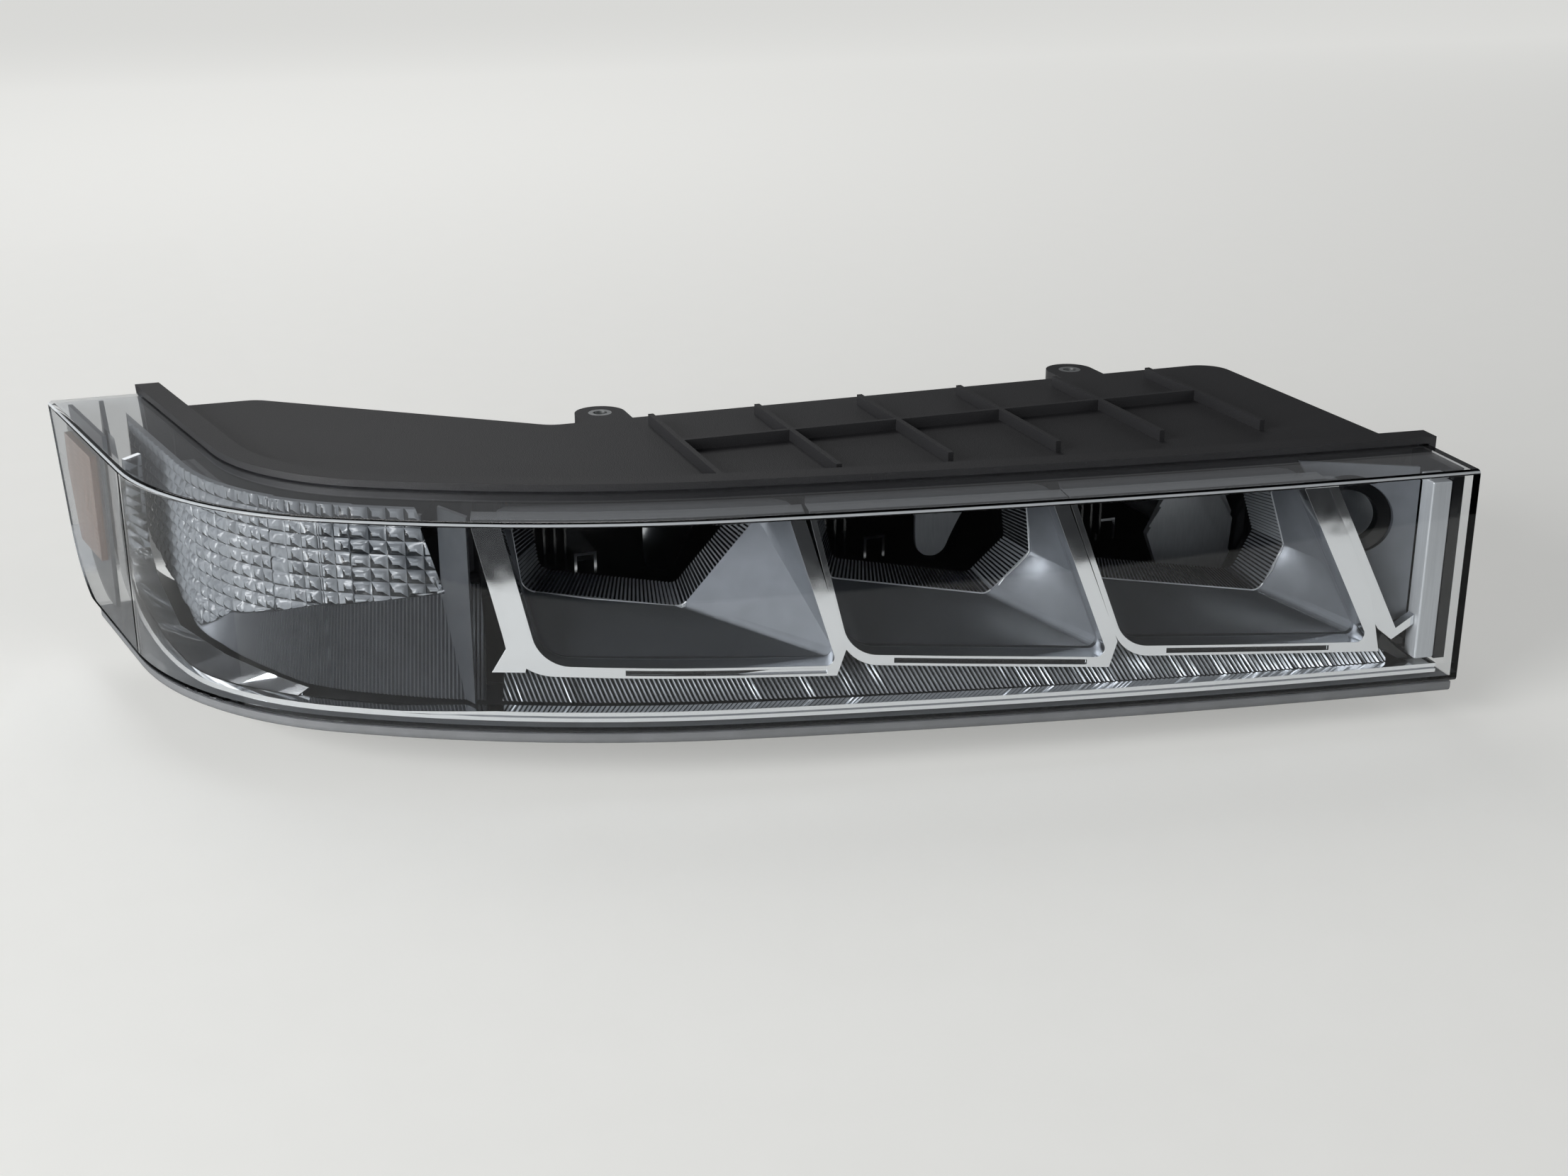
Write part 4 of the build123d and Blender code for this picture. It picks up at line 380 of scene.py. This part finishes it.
def softened(node, radius, name):
    """A copy of a CAD node, merged, with its sharp edges rounded where a radius is given."""
    piece = bpy.data.objects.new(name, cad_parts[node].data.copy())
    bpy.context.scene.collection.objects.link(piece)
    bpy.ops.object.select_all(action="DESELECT")
    bpy.context.view_layer.objects.active = piece
    piece.select_set(True)
    bpy.ops.object.mode_set(mode="EDIT")
    bpy.ops.mesh.select_all(action="SELECT")
    bpy.ops.mesh.remove_doubles(threshold=MERGE_GAP)
    bpy.ops.mesh.dissolve_limited(angle_limit=math.radians(FLAT_ANGLE))
    bpy.ops.object.mode_set(mode="OBJECT")
    if radius:
        rounding = piece.modifiers.new("rounding", "BEVEL")
        rounding.width = radius
        rounding.segments = 2
        rounding.limit_method = "ANGLE"
        rounding.angle_limit = math.radians(EDGE_ANGLE)
        bpy.ops.object.modifier_apply(modifier=rounding.name)
    bpy.ops.object.shade_smooth_by_angle(angle=math.radians(SMOOTH_ANGLE))
    if radius:
        flat = piece.modifiers.new("flat", "WEIGHTED_NORMAL")
        flat.keep_sharp = True
        bpy.ops.object.modifier_apply(modifier=flat.name)
    return piece


def depth_of(spot):
    """How far a place lies behind the clear front, square to it."""
    near = min(BAY_PLANES, key=lambda bay: abs(spot.x - bay[0][0]))
    turn = math.radians(near[1])
    return (spot.x - near[0][0]) * math.sin(turn) + (spot.y - near[0][1]) * math.cos(turn)


bright, tree = finish_of("vacuum_metallised_polycarbonate")
place = add(tree, "ShaderNodeTexCoord").outputs["Object"]
wave = add(tree, "ShaderNodeTexNoise", [("Scale", 1 / COAT_WAVE), ("Detail", 2.0)], [("Vector", place)])
haze = add(tree, "ShaderNodeTexNoise", [("Scale", 1 / COAT_HAZE), ("Detail", 5.0)], [("Vector", place)])
gloss = add(tree, "ShaderNodeMapRange", [("To Min", 0.05), ("To Max", 0.12)],
            [("Value", haze.outputs["Fac"])])
relief = add(tree, "ShaderNodeBump", [("Strength", 0.12), ("Distance", 0.002)],
             [("Height", wave.outputs["Fac"])])
skin = add(tree, "ShaderNodeBsdfPrincipled", [("Metallic", 1.0), ("Base Color", linear("eceef0"))],
           [("Roughness", gloss.outputs[0]), ("Normal", relief.outputs[0])])
add(tree, "ShaderNodeOutputMaterial", (), [("Surface", skin.outputs[0])])
paint(bright, "corner_trim", "corner_bevel", "turn_chamber", "end_trim", "beam_reflector_1",
      "light_source_1", "light_source_2", "light_source_3")
frames = softened("bezel_frames", FRAME_EDGE, "bright_frames")
paint(bright, frames)
frames.data.materials.append(gloss_black)
# The slots' bottoms in the rails take the gloss black: a painted dark reflection.
for face in frames.data.polygons:
    sunk = SLOT_DEPTHS[0] < depth_of(face.center) < SLOT_DEPTHS[1]
    in_rail = face.center.x > SLOT_FROM and face.center.z < SLOT_BELOW
    if sunk and in_rail and face.normal.y < SLOT_FACING:
        face.material_index = 1
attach(frames, "lamp")
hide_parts("bezel_frames")

# Light bar. An upright light guide with a satin aluminium coat, drawn upwards in very fine streaks, lighter
# than the panels, its edges softly rounded. The end bay's cup and the reflectors of the second and third beam
# units have the same coat.
BAR_EDGE = 0.0006
STREAK_WIDTH = 0.0008
STREAK_LENGTH = 0.03
pale, tree = finish_of("satin_aluminium_coat")
place = add(tree, "ShaderNodeTexCoord").outputs["Object"]
drawn = add(tree, "ShaderNodeMapping", [("Scale", (1 / STREAK_WIDTH, 1 / STREAK_WIDTH, 1 / STREAK_LENGTH))],
            [("Vector", place)])
fine = add(tree, "ShaderNodeTexNoise", [("Scale", 1.0), ("Detail", 3.0)], [("Vector", drawn.outputs[0])])
tone = add(tree, "ShaderNodeMix", [("data_type", "RGBA"), (6, linear("b6b9bc")), (7, linear("cdd0d2"))],
           [(0, fine.outputs["Fac"])])
skin = add(tree, "ShaderNodeBsdfPrincipled", [("Metallic", 0.35), ("Roughness", 0.34)],
           [("Base Color", tone.outputs[2])])
add(tree, "ShaderNodeOutputMaterial", (), [("Surface", skin.outputs[0])])
bar = softened("light_bar", BAR_EDGE, "satin_bar")
paint(pale, bar)
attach(bar, "lamp")
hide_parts("light_bar")
paint(pale, "end_cup", "beam_reflector_2", "beam_reflector_3")

# Scoops and end panel. Moulded funnels under a satin silver paint, which spreads the reflections wide. Faces
# that look upward, as the funnels' floors, are painted darker grey, fading into the silver where they curve
# up:
# painted shade. The paint's flakes are far finer than a pixel, so only the faint clouds that they lie in are
# drawn.
SCOOP_EDGE = 0.0006
PAINT_CLOUD = 0.009
PAINTED_SHADE_FACING = (0.2, 0.6)
satin, tree = finish_of("satin_silver_paint_painted_shade")
place = add(tree, "ShaderNodeTexCoord").outputs["Object"]
cloud = add(tree, "ShaderNodeTexNoise", [("Scale", 1 / PAINT_CLOUD), ("Detail", 2.0)], [("Vector", place)])
silver = add(tree, "ShaderNodeMix", [("data_type", "RGBA"), (6, linear("6c7075")), (7, linear("7e8288"))],
             [(0, cloud.outputs["Fac"])])
# The darker grey of upward faces is painted shade.
grey = add(tree, "ShaderNodeMix", [("data_type", "RGBA"), (6, linear("303337")), (7, linear("3c3f43"))],
           [(0, cloud.outputs["Fac"])])
facing = add(tree, "ShaderNodeSeparateXYZ", (), [(0, add(tree, "ShaderNodeNewGeometry").outputs["Normal"])])
upward = add(tree, "ShaderNodeMapRange", [("From Min", PAINTED_SHADE_FACING[0]), ("From Max", PAINTED_SHADE_FACING[1])],
             [("Value", facing.outputs["Z"])])
tone = add(tree, "ShaderNodeMix", [("data_type", "RGBA")],
           [(0, upward.outputs[0]), (6, silver.outputs[2]), (7, grey.outputs[2])])
skin = add(tree, "ShaderNodeBsdfPrincipled", [("Metallic", 0.5), ("Roughness", 0.42)],
           [("Base Color", tone.outputs[2])])
add(tree, "ShaderNodeOutputMaterial", (), [("Surface", skin.outputs[0])])
paint(satin, "end_panel")
scoops = softened("bezel_scoops", SCOOP_EDGE, "satin_scoops")
paint(satin, scoops)
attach(scoops, "lamp")
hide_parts("bezel_scoops")

# Aperture lips. A bead 0.8 mm thick runs round the inner edge of each funnel and hides the joint to the
# ribbed collar behind it. It is moulded with the funnel, and has the light satin coat.
BEAD_RADIUS = 0.0004
BEAD_ANGLE = 60
LIP_DEPTH = 0.0395
LIP_FACING = 0.9
APERTURES = ((-0.275, -0.02), (-0.150, -0.02), (-0.040, -0.023))


def facing_in(face):
    """Whether a face looks at the middle of its aperture."""
    middle = min(APERTURES, key=lambda hole: abs(face.center.x - hole[0]))
    return (face.center.x - middle[0]) * face.normal.x + (face.center.z - middle[1]) * face.normal.z < 0


rim = softened("bezel_scoops", 0, "rim")
bpy.ops.object.mode_set(mode="EDIT")
bpy.ops.mesh.select_mode(type="EDGE")
bpy.ops.mesh.select_all(action="DESELECT")
bpy.ops.object.mode_set(mode="OBJECT")
inner = set()
for face in rim.data.polygons:
    if facing_in(face) and abs(face.normal.y) < LIP_FACING:
        inner.update(face.edge_keys)
for edge in rim.data.edges:
    ends = [rim.data.vertices[i].co for i in edge.vertices]
    edge.select = edge.key in inner and min(depth_of(end) for end in ends) > LIP_DEPTH
bpy.ops.object.mode_set(mode="EDIT")
bpy.ops.mesh.duplicate()
bpy.ops.mesh.separate(type="SELECTED")
bpy.ops.object.mode_set(mode="OBJECT")
lips = next(piece for piece in bpy.context.selected_objects if piece is not rim)
bpy.data.objects.remove(rim)
bpy.ops.object.select_all(action="DESELECT")
bpy.context.view_layer.objects.active = lips
lips.select_set(True)
bpy.ops.object.convert(target="CURVE")
lips.data.bevel_depth = BEAD_RADIUS
lips.data.bevel_resolution = 1
bpy.ops.object.convert(target="MESH")
lips.name = "aperture_lips"
bpy.ops.object.shade_smooth_by_angle(angle=math.radians(BEAD_ANGLE))
paint(pale, lips)
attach(lips, "lamp")

# Dark pieces of the bezel. Moulded with fine ribs under a thin, dark metallised coat. One side of each rib
# is painted light and the other dark, a painted highlight and painted shade: the light sides are the outboard
# ones of the strip and every other one of the collars.
COAT_MIST = 0.008
OUTBOARD = -0.5
FORWARD = -0.3
RIB_AREAS = (8e-6, 4e-5)
coats = {}
for name, low, high, shine in (("rib_painted_shade", "191b1e", "24272a", 0.24),
                               ("rib_painted_highlight", "9a9ea3", "b6babe", 0.42),
                               ("dark_satin_moulding", "484b4f", "5a5d61", 0.36)):
    coats[name], tree = finish_of(name)
    place = add(tree, "ShaderNodeTexCoord").outputs["Object"]
    mist = add(tree, "ShaderNodeTexNoise", [("Scale", 1 / COAT_MIST), ("Detail", 3.0)], [("Vector", place)])
    tone = add(tree, "ShaderNodeMix", [("data_type", "RGBA"), (6, linear(low)), (7, linear(high))],
               [(0, mist.outputs["Fac"])])
    skin = add(tree, "ShaderNodeBsdfPrincipled", [("Roughness", shine), ("Metallic", 0.7)],
               [("Base Color", tone.outputs[2])])
    add(tree, "ShaderNodeOutputMaterial", (), [("Surface", skin.outputs[0])])
paint(coats["dark_satin_moulding"], "turn_surround", "bezel_skirt", "side_panel")
strip = softened("rib_strip", 0, "ribbed_strip")
collars = softened("aperture_collars", 0, "ribbed_collars")
for piece, node in ((strip, "rib_strip"), (collars, "aperture_collars")):
    paint(coats["rib_painted_shade"], piece)
    piece.data.materials.append(coats["rib_painted_highlight"])
    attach(piece, "lamp")
    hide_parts(node)
# Strip faces that look outboard and forward get the painted highlight, the rest the painted shade.
for face in strip.data.polygons:
    face.use_smooth = False
    face.material_index = 1 if face.normal.x < OUTBOARD and face.normal.y < FORWARD else 0
# Every other rib face round each collar gets the painted highlight.
for middle in APERTURES:
    ribs = [face for face in collars.data.polygons
            if RIB_AREAS[0] < face.area < RIB_AREAS[1] and facing_in(face)
            and min(APERTURES, key=lambda hole: abs(face.center.x - hole[0])) == middle]
    ribs.sort(key=lambda face: math.atan2(face.center.z - middle[1], face.center.x - middle[0]))
    for order, face in enumerate(ribs):
        face.use_smooth = False
        face.material_index = order % 2

# Side reflex. Amber acrylic, moulded over a grid of small corner prisms, which throw light back where it came
# from and show as a faint pattern of cells. It is set in the dark side panel.
PRISM_CELL = 0.0025
amber, tree = finish_of("moulded_amber_acrylic")
place = add(tree, "ShaderNodeTexCoord").outputs["Object"]
prisms = add(tree, "ShaderNodeTexVoronoi", [("Scale", 1 / PRISM_CELL), ("Randomness", 0.0)],
             [("Vector", place)])
tone = add(tree, "ShaderNodeMix", [("data_type", "RGBA"), (6, linear("6f5549")), (7, linear("8d7467"))],
           [(0, prisms.outputs["Distance"])])
skin = add(tree, "ShaderNodeBsdfPrincipled", [("Roughness", 0.2), ("IOR", 1.49)],
           [("Base Color", tone.outputs[2])])
add(tree, "ShaderNodeOutputMaterial", (), [("Surface", skin.outputs[0])])
paint(amber, "side_reflex")

# Turn bulb. Blown glass, dipped in an amber lacquer that runs thinner in some places than in others. It
# stands in the bulb holder, behind the turn lens.
LACQUER_RUN = 0.008
bulb_glass, tree = finish_of("amber_lacquered_glass")
place = add(tree, "ShaderNodeTexCoord").outputs["Object"]
thin = add(tree, "ShaderNodeTexNoise", [("Scale", 1 / LACQUER_RUN)], [("Vector", place)])
tone = add(tree, "ShaderNodeMix", [("data_type", "RGBA"), (6, linear("e08a3c")), (7, linear("f0a860"))],
           [(0, thin.outputs["Fac"])])
skin = add(tree, "ShaderNodeBsdfPrincipled", [("Roughness", 0.1), ("IOR", 1.5)],
           [("Base Color", tone.outputs[2])])
add(tree, "ShaderNodeOutputMaterial", (), [("Surface", skin.outputs[0])])
paint(bulb_glass, "turn_bulb")

# Turn lens. Clear acrylic moulded with raised pillows, a little milky all through. The lower and outboard
# slopes of each pillow are painted dark, a painted shade for the dark surround. Light reaches what is behind
# it.
MILK_CLOUD = 0.006
PILLOW_AREAS = (9e-6, 6e-5)
PILLOW_STEPS = ((0.0010, 0.0007), (0.0004, 0.0001))
PILLOW_ANGLE = 25
UPRIGHT = 0.1
INSIDE_Y = 0.1
SHADE_OUTBOARD = 0.6
SHADE_DOWN = 0.8
SLOPE = 0.1
acrylics = {}
for name, low, high, through in (("clear_acrylic_pads", "82868a", "9ca0a4", 0.22),
                                 ("clear_acrylic_painted_shade", "101214", "1c1f22", 0.1)):
    acrylics[name], tree = finish_of(name)
    place = add(tree, "ShaderNodeTexCoord").outputs["Object"]
    milk = add(tree, "ShaderNodeTexNoise", [("Scale", 1 / MILK_CLOUD), ("Detail", 3.0)], [("Vector", place)])
    tone = add(tree, "ShaderNodeMix", [("data_type", "RGBA"), (6, linear(low)), (7, linear(high))],
               [(0, milk.outputs["Fac"])])
    glass = add(tree, "ShaderNodeBsdfPrincipled",
                [("Transmission Weight", through), ("IOR", 1.49), ("Roughness", 0.12)],
                [("Base Color", tone.outputs[2])])
    clear = add(tree, "ShaderNodeBsdfTransparent", [("Color", linear("f4f6f8"))])
    ray = add(tree, "ShaderNodeLightPath")
    shadow = add(tree, "ShaderNodeMath", [("operation", "MAXIMUM")],
                 [(0, ray.outputs["Is Shadow Ray"]), (1, ray.outputs["Is Diffuse Ray"])])
    both = add(tree, "ShaderNodeMixShader", (),
               [(0, shadow.outputs[0]), (1, glass.outputs[0]), (2, clear.outputs[0])])
    add(tree, "ShaderNodeOutputMaterial", (), [("Surface", both.outputs[0])])
pillows = softened("turn_lens", 0, "pillow_lens")
bpy.ops.object.mode_set(mode="EDIT")
bpy.ops.mesh.select_mode(type="FACE")
bpy.ops.mesh.select_all(action="DESELECT")
bpy.ops.object.mode_set(mode="OBJECT")
pads = []
for face in pillows.data.polygons:
    outward = face.normal.x * face.center.x + face.normal.y * (face.center.y - INSIDE_Y) > 0
    pad_sized = PILLOW_AREAS[0] < face.area < PILLOW_AREAS[1]
    face.select = pad_sized and abs(face.normal.z) < UPRIGHT and outward
    if face.select:
        pads.append((face.center.copy(), face.normal.copy()))
bpy.ops.object.mode_set(mode="EDIT")
for inward, rise in PILLOW_STEPS:
    bpy.ops.mesh.inset(thickness=inward, depth=rise, use_individual=True)
bpy.ops.object.mode_set(mode="OBJECT")
bpy.ops.object.shade_smooth_by_angle(angle=math.radians(PILLOW_ANGLE))
paint(acrylics["clear_acrylic_pads"], pillows)
pillows.data.materials.append(acrylics["clear_acrylic_painted_shade"])
# Faces on the lower and outboard slopes of each pillow get the painted shade.
for face in pillows.data.polygons:
    wall = min(pads, key=lambda pad: (pad[0] - face.center).length)[1]
    shaded_way = Vector((wall.y, -wall.x, 0)) * SHADE_OUTBOARD - Vector((0, 0, SHADE_DOWN))
    if face.normal.dot(wall) > SLOPE and face.normal.dot(shaded_way) > SLOPE:
        face.material_index = 1
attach(pillows, "lamp")
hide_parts("turn_lens")

# Outer lens. Clear polycarbonate with a hard coat. Along its rounded upper edge a pale whitish shader is
# mixed in, a painted highlight that shows as a pale line. Light reaches what is behind it, so its shadow is
# left clear.
LENS_DUST = 0.02
EDGE_FACING = 0.55
cover, tree = finish_of("hard_coated_polycarbonate")
place = add(tree, "ShaderNodeTexCoord").outputs["Object"]
dust = add(tree, "ShaderNodeTexNoise", [("Scale", 1 / LENS_DUST), ("Detail", 6.0)], [("Vector", place)])
gloss = add(tree, "ShaderNodeMapRange", [("To Min", 0.0), ("To Max", 0.02)], [("Value", dust.outputs["Fac"])])
glass = add(tree, "ShaderNodeBsdfPrincipled",
            [("Base Color", linear("fbfcfd")), ("Transmission Weight", 1.0), ("IOR", 1.58),
             ("Specular Tint", linear("8c8c8c"))],
            [("Roughness", gloss.outputs[0])])
clear = add(tree, "ShaderNodeBsdfTransparent", [("Color", linear("fbfcfd"))])
ray = add(tree, "ShaderNodeLightPath")
shadow = add(tree, "ShaderNodeMath", [("operation", "MAXIMUM")],
             [(0, ray.outputs["Is Shadow Ray"]), (1, ray.outputs["Is Diffuse Ray"])])
both = add(tree, "ShaderNodeMixShader", (),
           [(0, shadow.outputs[0]), (1, glass.outputs[0]), (2, clear.outputs[0])])
# The pale line on the upward-tilted faces of the rounded upper edge is a painted highlight.
facing = add(tree, "ShaderNodeSeparateXYZ", (), [(0, add(tree, "ShaderNodeNewGeometry").outputs["Normal"])])
past = add(tree, "ShaderNodeMath", [("operation", "SUBTRACT"), (1, EDGE_FACING)], [(0, facing.outputs["Z"])])
off = add(tree, "ShaderNodeMath", [("operation", "ABSOLUTE")], [(0, past.outputs[0])])
edge = add(tree, "ShaderNodeMapRange", [("From Min", 0.25), ("From Max", 0.15), ("To Max", 0.6)],
           [("Value", off.outputs[0])])
painted_edge_highlight = add(tree, "ShaderNodeBsdfPrincipled", [("Base Color", linear("dfe4e8")), ("Roughness", 0.35)])
whole = add(tree, "ShaderNodeMixShader", (),
            [(0, edge.outputs[0]), (1, both.outputs[0]), (2, painted_edge_highlight.outputs[0])])
add(tree, "ShaderNodeOutputMaterial", (), [("Surface", whole.outputs[0])])
paint(cover, "outer_lens")
